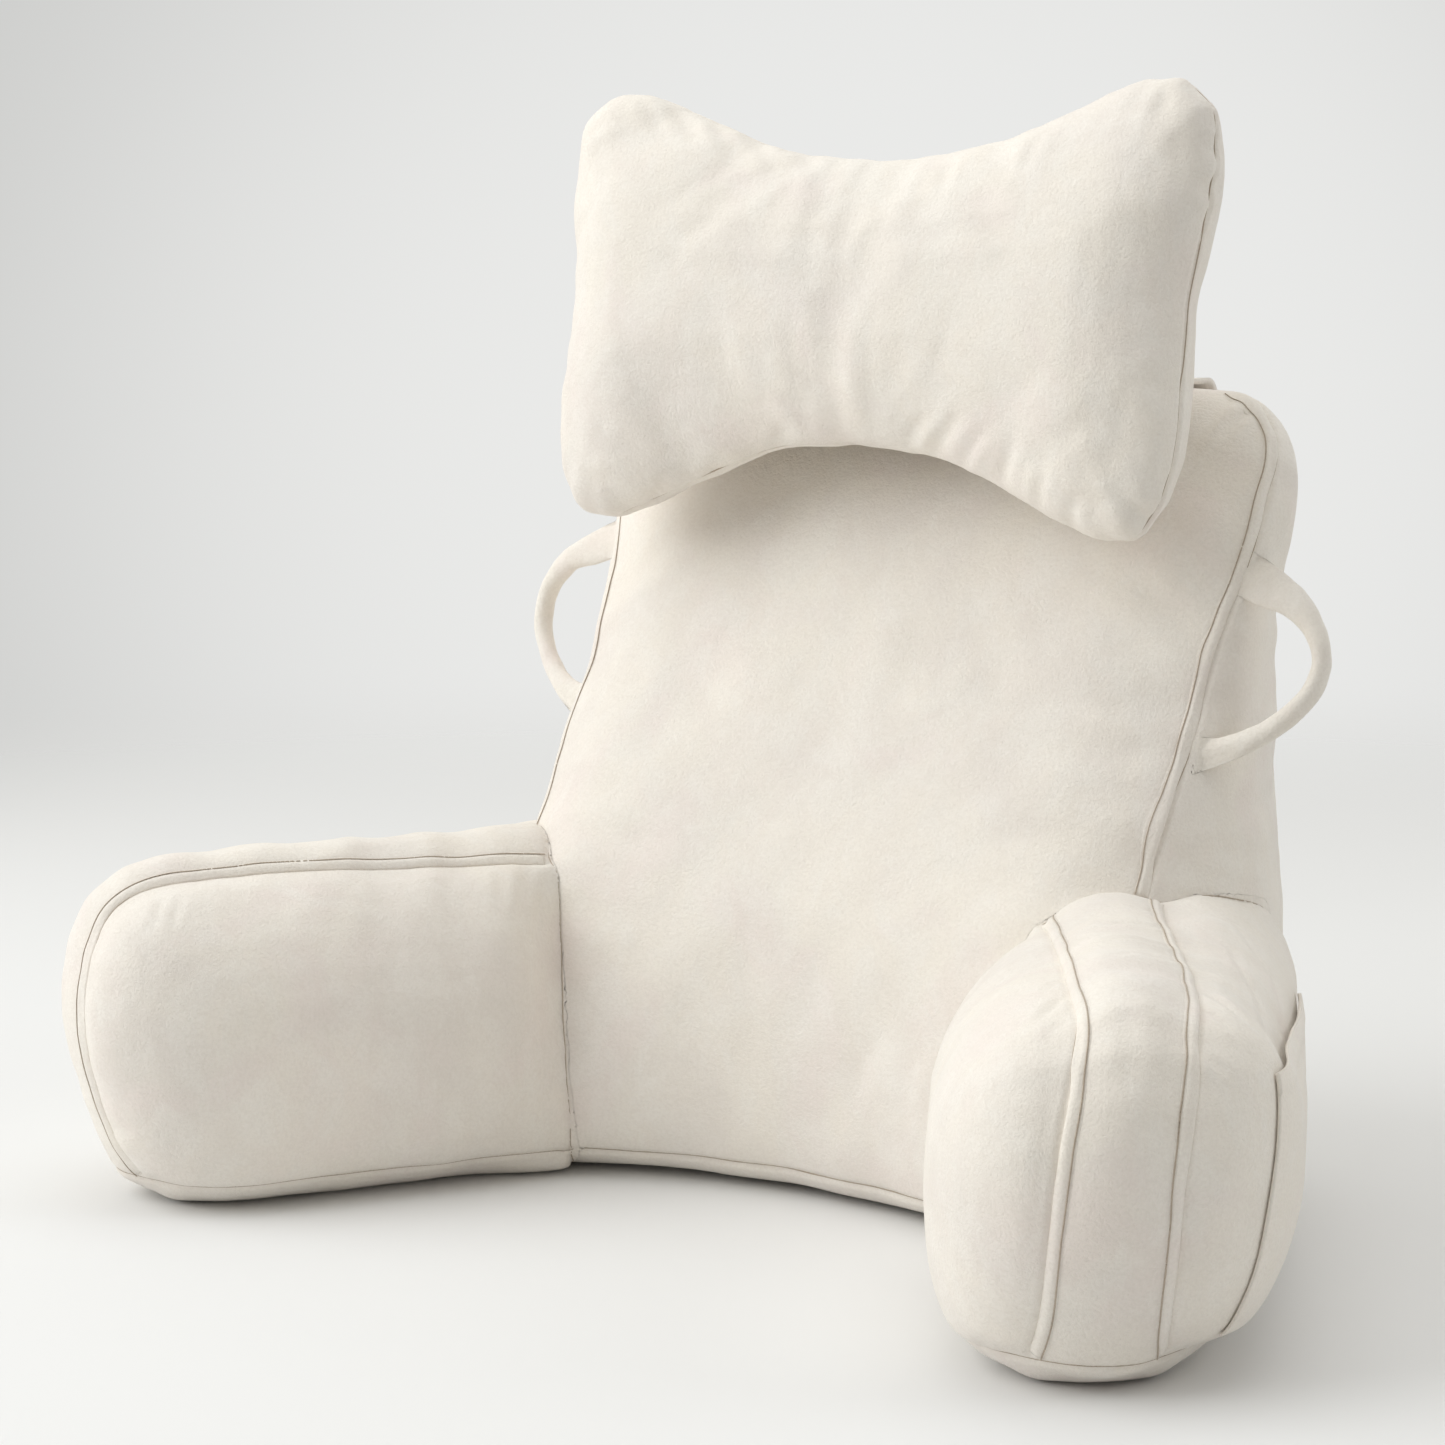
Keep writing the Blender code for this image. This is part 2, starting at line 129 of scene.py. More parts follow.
def eased(table, rounds=1):
    # each row is blended in place with the rows beside it; the two ends stay
    for _ in range(rounds):
        table[1:-1] = (table[:-2] + 2 * table[1:-1] + table[2:]) / 4
    return table


def unit(vectors):
    return vectors / np.maximum(np.linalg.norm(vectors, axis=1), 1e-9)[:, None]


def easeInOut(share):
    return share * share * (3.0 - 2.0 * share)


def tubeFaces(first, rings, size):
    # walls and ends of a tube whose rings of points follow each other
    faces = []
    for start in range(first, first + (rings - 1) * size, size):
        for step in range(size):
            following = (step + 1) % size
            faces.append((start + step, start + following,
                          start + size + following, start + size + step))
    last = first + (rings - 1) * size
    faces.append(tuple(range(first, first + size)))
    faces.append(tuple(range(last, last + size)))
    return faces


lineStep = 0.001          # between the points of a seam line
mergeGap = 0.00002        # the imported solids' corners are merged within this


def smoothRows(rows, count, closed=False):
    table = np.array(rows, dtype=float)
    last = len(table) if closed else len(table) - 1
    result = []
    for step in np.linspace(0.0, last, count, endpoint=not closed):
        start = min(int(step), last - 1)
        part = step - start
        near = [start - 1, start, start + 1, start + 2]
        if closed:
            near = [index % len(table) for index in near]
        else:
            near = [min(max(index, 0), len(table) - 1) for index in near]
        before, here, after, beyond = (table[index] for index in near)
        result.append(0.5 * (2 * here + (after - before) * part
                             + (2 * before - 5 * here + 4 * after - beyond) * part ** 2
                             + (3 * here - before - 3 * after + beyond) * part ** 3))
    return np.array(result)


def evenLine(points, spacing):
    line = np.array(points, dtype=float)
    runs = np.linalg.norm(np.diff(line, axis=0), axis=1)
    travelled = np.concatenate([[0.0], np.cumsum(runs)])
    count = max(int(round(travelled[-1] / spacing)), 2) + 1
    places = np.linspace(0.0, travelled[-1], count)
    return np.stack([np.interp(places, travelled, column) for column in line.T], axis=1)


def layOn(line, surface, ease=14):
    # the line's points on a surface along eased normals, and those normals
    line = np.array(line, dtype=float)
    normals = np.array([tuple(surface.find_nearest(Vector(point))[1]) for point in line])
    normals = unit(eased(normals, ease))
    return line + normals * heightsOn(line, normals, surface)[:, None], normals


def heightsOn(line, normals, surface, reach=0.012):
    # how far along its normal the surface lies from each point
    heights = np.full(len(line), np.nan)
    for index, (point, normal) in enumerate(zip(line, normals)):
        hit = surface.ray_cast(Vector(point + normal * reach), Vector(-normal), 2 * reach)[0]
        if hit is not None:
            heights[index] = (np.array(hit) - point) @ normal
    known = np.nonzero(~np.isnan(heights))[0]
    if len(known) == 0:
        return np.zeros(len(line))
    return eased(np.interp(np.arange(len(line)), known, heights[known]), 4)


def headings(line):
    # which way a line runs at each of its points, also where two of them coincide
    ahead = eased(np.gradient(line, axis=0), 2)
    for index in np.nonzero(np.linalg.norm(ahead, axis=1) < 1e-8)[0]:
        ahead[index] = ahead[index - 1]
    return unit(ahead)


def softNoise(along, wave, seed):
    # smooth noise from -1 to 1 along a line, wave metres from one bump to the next
    knots = np.random.default_rng(seed).uniform(-1.0, 1.0, 600)
    step = np.abs(along) / wave
    start = np.floor(step).astype(int) % 598
    part = easeInOut(step - np.floor(step))
    return knots[start] * (1.0 - part) + knots[start + 1] * part


def dentNoise(points, shortest, longest, seed):
    # smooth noise in space, from about -1 to 1
    source = np.random.default_rng(seed)
    total = np.zeros(len(points))
    for _ in range(18):
        heading = source.normal(size=3)
        heading /= np.linalg.norm(heading)
        wave = source.uniform(shortest, longest)
        total += np.sin(points @ heading * (2 * pi / wave) + source.uniform(0.0, 2 * pi))
    return total / 6.0


# Materials

def rangeNode(tree, value, span, top=1.0, curve="SMOOTHSTEP"):
    # value over a span becomes 0 to top
    ranged = tree.nodes.new("ShaderNodeMapRange")
    ranged.interpolation_type = curve
    for socket, number in (("From Min", span[0]), ("From Max", span[1]),
                           ("To Min", 0.0), ("To Max", top)):
        ranged.inputs[socket].default_value = number
    tree.links.new(value, ranged.inputs["Value"])
    return ranged.outputs["Result"]


def mixNode(tree, share, first, second, way="MIX"):
    mixed = tree.nodes.new("ShaderNodeMix")
    mixed.data_type = "RGBA"
    mixed.blend_type = way
    for socket, value in ((mixed.inputs["Factor"], share), (mixed.inputs[6], first),
                          (mixed.inputs[7], second)):
        if isinstance(value, float):
            socket.default_value = value
        elif isinstance(value, tuple):
            socket.default_value = (*value, 1.0)
        else:
            tree.links.new(value, socket)
    return mixed.outputs[2]


def pileMaterial(name, pile):
    material = bpy.data.materials.new(name)
    material.use_nodes = True
    material.diffuse_color = (*pile["cream"], 1.0)
    tree = material.node_tree
    nodes, links = tree.nodes, tree.links
    shader = nodes["Principled BSDF"]
    shader.inputs["Roughness"].default_value = pile["roughness"]
    shader.inputs["Specular IOR Level"].default_value = pile["specular"]
    shader.inputs["Sheen Weight"].default_value = pile["sheen"]
    shader.inputs["Sheen Roughness"].default_value = pile["sheenRoughness"]
    shader.inputs["Sheen Tint"].default_value = (*pile["sheenTint"], 1.0)
    where = nodes.new("ShaderNodeTexCoord")

    def noise(scale, detail, rough, distortion=0.0, stretch=None):
        texture = nodes.new("ShaderNodeTexNoise")
        texture.inputs["Scale"].default_value = scale
        texture.inputs["Detail"].default_value = detail
        texture.inputs["Roughness"].default_value = rough
        texture.inputs["Distortion"].default_value = distortion
        if stretch is None:
            links.new(where.outputs["Object"], texture.inputs["Vector"])
        else:
            turn = nodes.new("ShaderNodeMapping")
            turn.inputs["Scale"].default_value = stretch
            links.new(where.outputs["Object"], turn.inputs["Vector"])
            links.new(turn.outputs["Vector"], texture.inputs["Vector"])
        return texture.outputs["Fac"]

    # the pile lies this way and that: grey and rosy patches, then brushed marks, then grain
    grain = noise(pile["grainScale"], 3.0, 0.7)
    colour = pile["cream"]
    for pattern, span, share, shade in (
            (noise(pile["patchScale"], 3.0, 0.55, 0.5), (0.42, 0.68), "patch", "grey"),
            (noise(pile["blushScale"], 2.0, 0.5, 0.8), (0.50, 0.72), "blush", "rose"),
            (noise(pile["brushScale"], 4.0, 0.62, 0.6, (1.0, 1.0, 0.7)), (0.40, 0.66),
             "brush", "brushed"),
            (grain, (0.36, 0.70), "grain", "deep")):
        colour = mixNode(tree, rangeNode(tree, pattern, span, pile[share]), colour, pile[shade])
    links.new(colour, shader.inputs["Base Color"])

    normal = None
    for pattern, strength, height in ((grain, "grainBump", "grainHeight"),
                                      (noise(pile["clothScale"], 4.0, 0.6), "clothBump",
                                       "clothHeight")):
        bump = nodes.new("ShaderNodeBump")
        bump.inputs["Strength"].default_value = pile[strength]
        bump.inputs["Distance"].default_value = pile[height]
        links.new(pattern, bump.inputs["Height"])
        if normal is not None:
            links.new(normal, bump.inputs["Normal"])
        normal = bump.outputs["Normal"]
    links.new(normal, shader.inputs["Normal"])
    return material


creamPile = {
    "cream": (0.872, 0.818, 0.738),
    "grey": (0.800, 0.746, 0.690),
    "rose": (0.845, 0.760, 0.712),
    "brushed": (0.885, 0.850, 0.790),
    "deep": (0.700, 0.640, 0.565),
    "patchScale": 8.0,
    "patch": 0.80,
    "blushScale": 12.0,
    "blush": 0.55,
    "brushScale": 34.0,
    "brush": 0.45,
    "grainScale": 480.0,
    "grain": 0.26,
    "grainBump": 0.70,
    "grainHeight": 0.0009,     # metres
    "clothScale": 95.0,
    "clothBump": 0.20,
    "clothHeight": 0.003,
    "roughness": 0.93,
    "specular": 0.18,
    "sheen": 0.35,
    "sheenRoughness": 0.45,
    "sheenTint": (1.0, 0.985, 0.96),
}
clothBody = pileMaterial("creamPile", creamPile)
clothHandle = pileMaterial("creamPileHandle", {**creamPile, "patchScale": 15.0, "patch": 0.55,
                                               "cream": (0.850, 0.800, 0.722)})
# dark tan for the stitches and the seam lines: the stitches are real thread darkened by painted
# shade, the seam lines are painted shade in the seams' gaps
threadAndSeamShade = pileMaterial("threadAndSeamShade", {**creamPile, "cream": (0.470, 0.390, 0.305),
                                         "grey": (0.480, 0.405, 0.325),
                                         "rose": (0.500, 0.410, 0.330),
                                         "brushed": (0.560, 0.480, 0.390),
                                         "deep": (0.400, 0.330, 0.260)})
print("materials made")


# Cushions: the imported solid, remeshed, stuffed by a cloth simulation, then sewn

coarseStep = 0.008        # a line is first searched at points this far apart


def nearLine(points, line, reach):
    # for points within reach of a line: which they are, the nearest line point, the distance
    coarse = line[:: max(int(coarseStep / max(np.linalg.norm(line[1] - line[0]), 1e-6)), 1)]
    best = np.full(len(points), 9.0)
    for start in range(0, len(coarse), 40):
        part = coarse[start:start + 40]
        gaps = np.linalg.norm(points[:, None, :] - part[None, :, :], axis=2).min(axis=1)
        best = np.minimum(best, gaps)
    picked = np.nonzero(best < reach + coarseStep)[0]
    tree = KDTree(len(line))
    for index, point in enumerate(line):
        tree.insert(point, index)
    tree.balance()
    found = [tree.find(points[index])[1:] for index in picked]
    place = np.array([item[0] for item in found], dtype=int)
    gap = np.array([item[1] for item in found])
    keep = gap < reach
    return picked[keep], place[keep], gap[keep]


def remeshed(piece, size):
    work = bmesh.new()
    work.from_mesh(piece.data)
    bmesh.ops.remove_doubles(work, verts=work.verts[:], dist=mergeGap)
    work.to_mesh(piece.data)
    work.free()
    remesh = piece.modifiers.new("evenMesh", "REMESH")
    remesh.mode = "VOXEL"
    remesh.voxel_size = size
    applyModifier(piece, remesh)


clothMake = {
    "quality": 5,
    "mass": 0.25,
    "stretch": 18.0,
    "shear": 8.0,
    "damping": 8.0,
    "frames": 20,
    "seamKeep": 0.4,      # share of the motion that is kept on a seam
}


def inflate(piece, stuffing, gathers):
    mesh = piece.data
    start = readPoints(mesh)
    gather = piece.vertex_groups.new(name="gather")
    pull = np.zeros(len(start))
    for line in gathers:
        picked, _, gap = nearLine(start, line, stuffing["gatherReach"])
        pull[picked] = np.maximum(pull[picked], 1.0 - gap / stuffing["gatherReach"])
    for index in np.nonzero(pull > 0.0)[0]:
        gather.add([int(index)], float(pull[index]), "REPLACE")
    cloth = piece.modifiers.new("stuffing", "CLOTH")
    settings = cloth.settings
    settings.quality = clothMake["quality"]
    settings.mass = clothMake["mass"]
    settings.tension_stiffness = clothMake["stretch"]
    settings.compression_stiffness = clothMake["stretch"]
    settings.shear_stiffness = clothMake["shear"]
    settings.bending_stiffness = stuffing["bending"]
    settings.tension_damping = clothMake["damping"]
    settings.compression_damping = clothMake["damping"]
    settings.use_pressure = True
    settings.uniform_pressure_force = stuffing["pressure"]
    settings.effector_weights.gravity = 0.0
    settings.vertex_group_shrink = "gather"
    settings.shrink_min = -stuffing["slack"]
    settings.shrink_max = stuffing["gather"]
    cloth.collision_settings.use_collision = False
    cloth.collision_settings.use_self_collision = False
    cloth.point_cache.frame_start = 1
    cloth.point_cache.frame_end = clothMake["frames"]
    normals = readNormals(mesh)
    for step in range(clothMake["frames"]):
        scene.frame_set(step + 1)
    applyModifier(piece, cloth)
    scene.frame_set(1)
    piece.vertex_groups.clear()
    # the folds and fullness are kept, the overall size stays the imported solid's
    out = ((readPoints(piece.data) - start) * normals).sum(axis=1)
    fine = evenOut(piece.data, out, stuffing["fine"])
    out = fine - evenOut(piece.data, fine, stuffing["broad"])
    out *= stuffing["keep"] * (1.0 - (1.0 - clothMake["seamKeep"]) * pull)
    out = stuffing["cap"] * np.tanh(out / stuffing["cap"])
    writePoints(piece.data, start + normals * out[:, None])


def evenOut(mesh, values, rounds):
    # each point's value is blended with its neighbours', over and over
    edges = np.zeros(len(mesh.edges) * 2, dtype=np.int32)
    mesh.edges.foreach_get("vertices", edges)
    one, other = edges[::2], edges[1::2]
    size = len(values)
    count = np.maximum(np.bincount(edges, minlength=size), 1)
    for _ in range(rounds):
        total = np.bincount(one, values[other], size) + np.bincount(other, values[one], size)
        values = 0.5 * values + 0.5 * total / count
    return values


def subdivided(piece):
    finer = piece.modifiers.new("finer", "SUBSURF")
    finer.levels = 1
    finer.render_levels = 1
    applyModifier(piece, finer)


def refineNear(piece, lines, reach):
    points = readPoints(piece.data)
    chosen = np.zeros(len(points), dtype=bool)
    for line in lines:
        chosen[nearLine(points, line, reach)[0]] = True
    work = bmesh.new()
    work.from_mesh(piece.data)
    work.verts.ensure_lookup_table()
    edges = [edge for edge in work.edges
             if chosen[edge.verts[0].index] and chosen[edge.verts[1].index]]
    bmesh.ops.subdivide_edges(work, edges=edges, cuts=1, use_grid_fill=True)
    bmesh.ops.triangulate(work, faces=[face for face in work.faces if len(face.verts) > 4])
    work.to_mesh(piece.data)
    work.free()


def pressLine(points, normals, line, depth, width):
    picked, _, gap = nearLine(points, line, width * 3.0)
    points[picked] -= normals[picked] * (depth * np.exp(-(gap / width) ** 2))[:, None]


def pucker(points, normals, line, look, seed):
    # ridges and valleys that run away from a seam and fade out
    spacing = np.linalg.norm(line[1] - line[0])
    picked, place, gap = nearLine(points, line, look["reach"] * 2.2)
    along = place * spacing
    strength = 0.5 + 0.5 * softNoise(along, look["wave"] * 5.0, seed + 1)
    lean = gap * 0.35 * softNoise(along, look["wave"] * 6.0, seed + 2)
    reach = look["reach"] * (0.65 + 0.35 * softNoise(along, look["wave"] * 2.0, seed + 3))
    ridge = softNoise(along + lean, look["wave"], seed)
    ridge += 0.5 * softNoise(along + 2 * lean, look["wave"] * 0.55, seed + 4)
    fade = np.exp(-(gap / reach) ** 1.5) * (1.0 - 0.55 * np.exp(-gap / 0.003))
    points[picked] += normals[picked] * (look["height"] * strength * ridge * fade)[:, None]


foldStrength = 0.75         # of all folds taken from the photo


def creaseAt(points, normals, surface, fold):
    # a soft fold along a stroke seen in the photo: depth, width, then its pixels
    depth, width, *pixels = fold
    depth *= foldStrength
    stroke = []
    for x, y in evenLine(pixels, 3.0):
        place = surface.ray_cast(*photoRay(x, y))[0]
        if place is not None:
            stroke.append(tuple(place))
    if len(stroke) < 3:
        return
    line = evenLine(stroke, lineStep)
    picked, place, gap = nearLine(points, line, width * 4.0)
    ends = np.sin(pi * (place + 0.5) / len(line)) ** 0.6
    shape = np.exp(-(gap / width) ** 2) - 0.45 * np.exp(-((gap - 1.9 * width) / width) ** 2)
    points[picked] -= normals[picked] * (depth * shape * ends)[:, None]


rootTouch = 0.0012        # a face this near to its neighbour is a root's


def deepened(mesh, surface, reach):
    # the face on a neighbour is drawn into it, so that its edge isn't rounded off
    work = bmesh.new()
    work.from_mesh(mesh)
    bmesh.ops.remove_doubles(work, verts=work.verts[:], dist=mergeGap)
    faces = [face for face in work.faces
             if all(surface.find_nearest(corner.co)[3] < rootTouch for corner in face.verts)]
    made = bmesh.ops.extrude_face_region(work, geom=faces)["geom"]
    for corner in made:
        if isinstance(corner, bmesh.types.BMVert):
            corner.co -= surface.find_nearest(corner.co)[1] * reach
    work.to_mesh(mesh)
    work.free()
    print("root deepened by", len(faces), "faces")


def stuffedCushion(node, name, stuffing, gathers, neighbour=None):
    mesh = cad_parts[node].data.copy()
    if neighbour is not None:
        deepened(mesh, neighbour, stuffing["rootDepth"])
    mesh.name = name
    mesh.materials.clear()
    mesh.materials.append(clothBody)
    piece = bpy.data.objects.new(name, mesh)
    scene.collection.objects.link(piece)
    remeshed(piece, stuffing["voxel"])
    before = len(piece.data.vertices)
    smooth = piece.modifiers.new("even", "SMOOTH")
    smooth.factor = 0.5
    smooth.iterations = stuffing["smooth"]
    applyModifier(piece, smooth)
    inflate(piece, stuffing, gathers)
    subdivided(piece)
    points = readPoints(piece.data)
    points[:, 2] = np.maximum(points[:, 2], 0.0)      # the base lies flat on the floor
    writePoints(piece.data, points)
    piece.data.shade_smooth()
    print(name, "stuffed,", before, "points before,", len(points), "after")
    return piece


# Seams: a raised felled band with a row of stitches, laid on the finished surface

bandLook = {
    "width": 0.0076,      # from the seam to the stitches
    "spacing": 0.0025,
    "rise": 0.0015,
    "stitchPitch": 0.0056,
    "stitchLength": 0.0030,
    "stitchWidth": 0.00085,
    "stitchPlace": 0.93,      # share of the width
    "stitchLift": 0.38,       # share of the rise
    "reach": 0.008,           # how far off its surface a band is looked for
}

# across the band: distance from the seam and height, both as shares of width and rise
bandShape = ((-0.02, -1.0), (-0.07, -0.1), (-0.04, 0.55), (0.06, 0.92), (0.25, 1.04),
             (0.50, 0.94), (0.70, 0.68), (0.86, 0.34), (0.96, 0.18), (1.05, 0.08),
             (1.12, 0.02), (1.16, -1.0))


def sewBand(name, runs, surface):
    # runs: line, direction in which the band lies from its seam
    bandPoints, bandFaces, stitchPoints, stitchFaces = [], [], [], []
    width, rise = bandLook["width"], bandLook["rise"]
    reach = bandLook["reach"]
    for number, (line, toward) in enumerate(runs):
        line = evenLine(line, bandLook["spacing"])
        places, normals = layOn(line, surface, 30)
        eased(places, 3)
        aside = np.cross(normals, headings(places))
        aside *= np.sign((aside @ np.array(toward)).sum())
        aside = unit(eased(aside, 10))
        along = np.arange(len(line)) * bandLook["spacing"]
        wide = width * (1.0 + 0.05 * softNoise(along, 0.021, 40 + number))
        high = rise * (1.0 + 0.16 * softNoise(along, 0.013, 60 + number))
        high *= np.clip(np.minimum(along, along[-1] - along) / 0.004, 0.25, 1.0)
        first = len(bandPoints)
        rows = []
        for share, height in bandShape:
            row = places + aside * (share * wide)[:, None]
            lift = heightsOn(row, normals, surface, reach)
            lift = lift + (high * height if height > 0 else rise * height)
            rows.append(row + normals * lift[:, None])
        bandPoints += list(np.stack(rows, axis=1).reshape(-1, 3))
        bandFaces += tubeFaces(first, len(line), len(bandShape))
        row = places + aside * (bandLook["stitchPlace"] * wide)[:, None]
        lift = heightsOn(row, normals, surface, reach) + rise * bandLook["stitchLift"]
        row += normals * lift[:, None]
        addStitches(stitchPoints, stitchFaces, row, normals)
    band = newPiece(name + "Bands", bandPoints, bandFaces, clothBody)
    # the stitches are real thread, darkened by painted shade of their holes
    stitches = newPiece(name + "Stitches", stitchPoints, stitchFaces, threadAndSeamShade)
    return [band, stitches]


def addStitches(points, faces, line, ups):
    line, ups = np.array(line), np.array(ups)
    spots = evenLine(np.hstack([line, ups]), bandLook["stitchPitch"] / 4)
    half, slim = bandLook["stitchLength"] / 2, bandLook["stitchWidth"] / 2
    for index in range(2, len(spots) - 2, 4):
        here, up = spots[index, :3], spots[index, 3:]
        ahead = spots[index + 1, :3] - spots[index - 1, :3]
        ahead /= np.linalg.norm(ahead)
        aside = np.cross(up, ahead)
        aside /= np.linalg.norm(aside)
        up = np.cross(ahead, aside)
        first = len(points)
        for step, thick in ((-1.0, 0.45), (-0.55, 1.0), (0.55, 1.0), (1.0, 0.45)):
            for side, rise in ((-1, 0), (-0.6, 0.8), (0.6, 0.8), (1, 0), (0, -0.8)):
                points.append(here + ahead * half * step + aside * slim * side * thick
                              + up * slim * (rise * thick + 0.25 * (abs(step) < 0.9)))
        faces += tubeFaces(first, 4, 5)


# size and depth of the dark tube laid in seams as painted seam shade
seamShadeMake = {
    "spacing": 0.0035,
    "sides": 6,
    "radius": 0.0005,
    "armRadius": 0.0004,
    "sink": 0.0001,       # how far its middle lies below the cloth
    "jointSink": -0.0002,
}


def seamShadeLine(name, lines, surface, radius=seamShadeMake["radius"], sink=seamShadeMake["sink"]):
    # a thin dark tube sunk in the seam where two panels meet: painted shade for the shadow in
    # the seam's gap
    points, faces = [], []
    size = seamShadeMake["sides"]
    for line in lines:
        line = evenLine(line, seamShadeMake["spacing"])
        places, normals = layOn(line, surface)
        aside = np.cross(normals, headings(places))
        first = len(points)
        for place, up, side in zip(places, normals, aside):
            for step in range(size):
                turn = 2 * pi * step / size
                points.append(place - up * sink + up * radius * sin(turn)
                              + side * radius * cos(turn))
        faces += tubeFaces(first, len(line), size)
    return newPiece(name, points, faces, threadAndSeamShade)


def signedGap(points, surface, reach=0.03):
    # how far outside a closed surface each point lies, cut off at reach
    gaps = np.full(len(points), reach)
    for index, point in enumerate(points):
        place, normal, _, gap = surface.find_nearest(Vector(point), reach)
        if place is not None:
            gaps[index] = gap if (Vector(point) - place).dot(normal) > 0 else -gap
    return gaps


def isInside(point, surface):
    # an odd number of walls in one direction
    heading = Vector((0.31, 0.17, 0.93)).normalized()
    start, walls = Vector(point), 0
    while walls < 20:
        place = surface.ray_cast(start, heading)[0]
        if place is None:
            break
        walls += 1
        start = place + heading * 0.00001
    return walls % 2 == 1


def outsideRuns(line, surfaces, margin=0.001, shortest=0.02):
    # the stretches of a line that lie outside other cushions
    runs, run = [], []
    for point in line:
        if all(surface.find_nearest(Vector(point))[3] > margin and not isInside(point, surface)
               for surface in surfaces):
            run.append(point)
        else:
            runs.append(run)
            run = []
    runs.append(run)
    return [np.array(run) for run in runs
            if len(run) > 2 and np.linalg.norm(np.diff(run, axis=0), axis=1).sum() > shortest]


def relax(piece, surface, reach, rounds):
    # evens out a cushion's mesh near a neighbour
    points = readPoints(piece.data)
    weight = np.clip(2.0 - np.abs(signedGap(points, surface)) / reach, 0.0, 1.0)[:, None]
    calm = np.stack([evenOut(piece.data, column, rounds) for column in points.T], axis=1)
    writePoints(piece.data, points * (1.0 - weight) + calm * weight)


def contour(piece, values, spacing, ease=6):
    # the longest closed line on a mesh where values, one for each point, pass zero
    points = readPoints(piece.data)
    follow, places = {}, {}
    for face in piece.data.polygons:
        corners = list(face.vertices)
        crossed = []
        for one, other in zip(corners, corners[1:] + corners[:1]):
            first, second = values[one], values[other]
            if (first < 0) != (second < 0):
                key = (min(one, other), max(one, other))
                share = first / (first - second)
                places[key] = points[one] * (1 - share) + points[other] * share
                crossed.append(key)
        for one, other in zip(crossed[::2], crossed[1::2]):
            follow.setdefault(one, []).append(other)
            follow.setdefault(other, []).append(one)
    left, best = set(follow), []
    for start in sorted(follow):
        if start not in left:
            continue
        run, here = [], start
        while here is not None:
            run.append(here)
            left.discard(here)
            here = next((item for item in follow[here] if item in left), None)
        if len(run) > len(best):
            best = run
    ring = np.array([places[key] for key in best])
    for _ in range(ease):
        ring = (np.roll(ring, 1, axis=0) + 2 * ring + np.roll(ring, -1, axis=0)) / 4
    return evenLine(np.vstack([ring, ring[:1]]), spacing)


def settleOn(piece, surface, gap, near, far):
    # points nearer than near come to lie gap off a neighbour; the move fades out at far
    points = readPoints(piece.data)
    for index, point in enumerate(points):
        place, normal, _, away = surface.find_nearest(Vector(point), far + 0.03)
        if place is None:
            continue
        height = away if (Vector(point) - place).dot(normal) > 0 else -away
        if height >= far:
            continue
        share = easeInOut(min(max((height - near) / (far - near), 0.0), 1.0))
        points[index] += np.array(normal) * ((gap - height) * (1.0 - share))
    writePoints(piece.data, points)


sewnGap = 0.0003          # between pieces that are sewn or lie against each other
restFade = 0.0006


def restOn(piece, surface):
    settleOn(piece, surface, sewnGap, sewnGap, restFade)


def besideLine(line, surface, toward, reach):
    # a line moved sideways on a surface
    places, normals = layOn(line, surface)
    aside = np.cross(normals, headings(places))
    aside *= np.sign((aside @ np.array(toward)).sum())
    return layOn(places + aside * reach, surface)[0]


# The back cushion: front panel, side and top gusset, rear and base panel

backMake = {
    "voxel": 0.0062,
    "smooth": 4,
    "pressure": 4.0,
    "fine": 3,
    "broad": 160,
    "keep": 0.45,
    "cap": 0.0035,
    "bending": 1.0,
    "slack": 0.012,
    "gather": 0.07,
    "gatherReach": 0.016,
    "dents": 0.0011,
    "seamDepth": 0.0022,
    "baseSeam": 0.018,
}
# side seam: height, x, y; then the rear seam's x, y at the same height
backSeams = (
    (0.018, 0.240, -0.142, 0.224, 0.133),
    (0.060, 0.243, -0.136, 0.230, 0.141),
    (0.120, 0.243, -0.118, 0.228, 0.145),
    (0.180, 0.239, -0.089, 0.223, 0.147),
    (0.224, 0.235, -0.060, 0.219, 0.147),
    (0.270, 0.236, -0.034, 0.215, 0.147),
    (0.310, 0.236, -0.009, 0.213, 0.147),
    (0.357, 0.238, 0.014, 0.211, 0.147),
    (0.417, 0.246, 0.044, 0.210, 0.146),
    (0.448, 0.249, 0.057, 0.208, 0.144),
    (0.475, 0.247, 0.073, 0.205, 0.140),
    (0.495, 0.239, 0.088, 0.200, 0.136),
    (0.509, 0.224, 0.101, 0.193, 0.132),
    (0.517, 0.202, 0.112, 0.182, 0.128),
)
backPuckers = {"height": 0.0007, "wave": 0.016, "reach": 0.020}

seamRows = smoothRows(backSeams, 160)
frontSeam, rearSeam = {}, {}
for side in (1, -1):
    frontSeam[side] = evenLine(np.stack([side * seamRows[:, 1], seamRows[:, 2],
                                         seamRows[:, 0]], axis=1), lineStep)
    rearSeam[side] = evenLine(np.stack([side * seamRows[:, 3], seamRows[:, 4],
                                        seamRows[:, 0]], axis=1), lineStep)
backEdges = [frontSeam[1], frontSeam[-1], rearSeam[1], rearSeam[-1]]
back = stuffedCushion("back_cushion", "backCushion", backMake, backEdges)


sewing = {
    "fine": 0.0075,           # the mesh is made finer this near to a seam
    "groove": 0.0024,         # half width of a seam's groove
    "stitchGroove": 0.0020,
    "stitchDepth": 0.12,      # share of the seam's depth
    "dentsFrom": 0.05,
    "dentsTo": 0.13,
    "basePucker": 0.5,
}


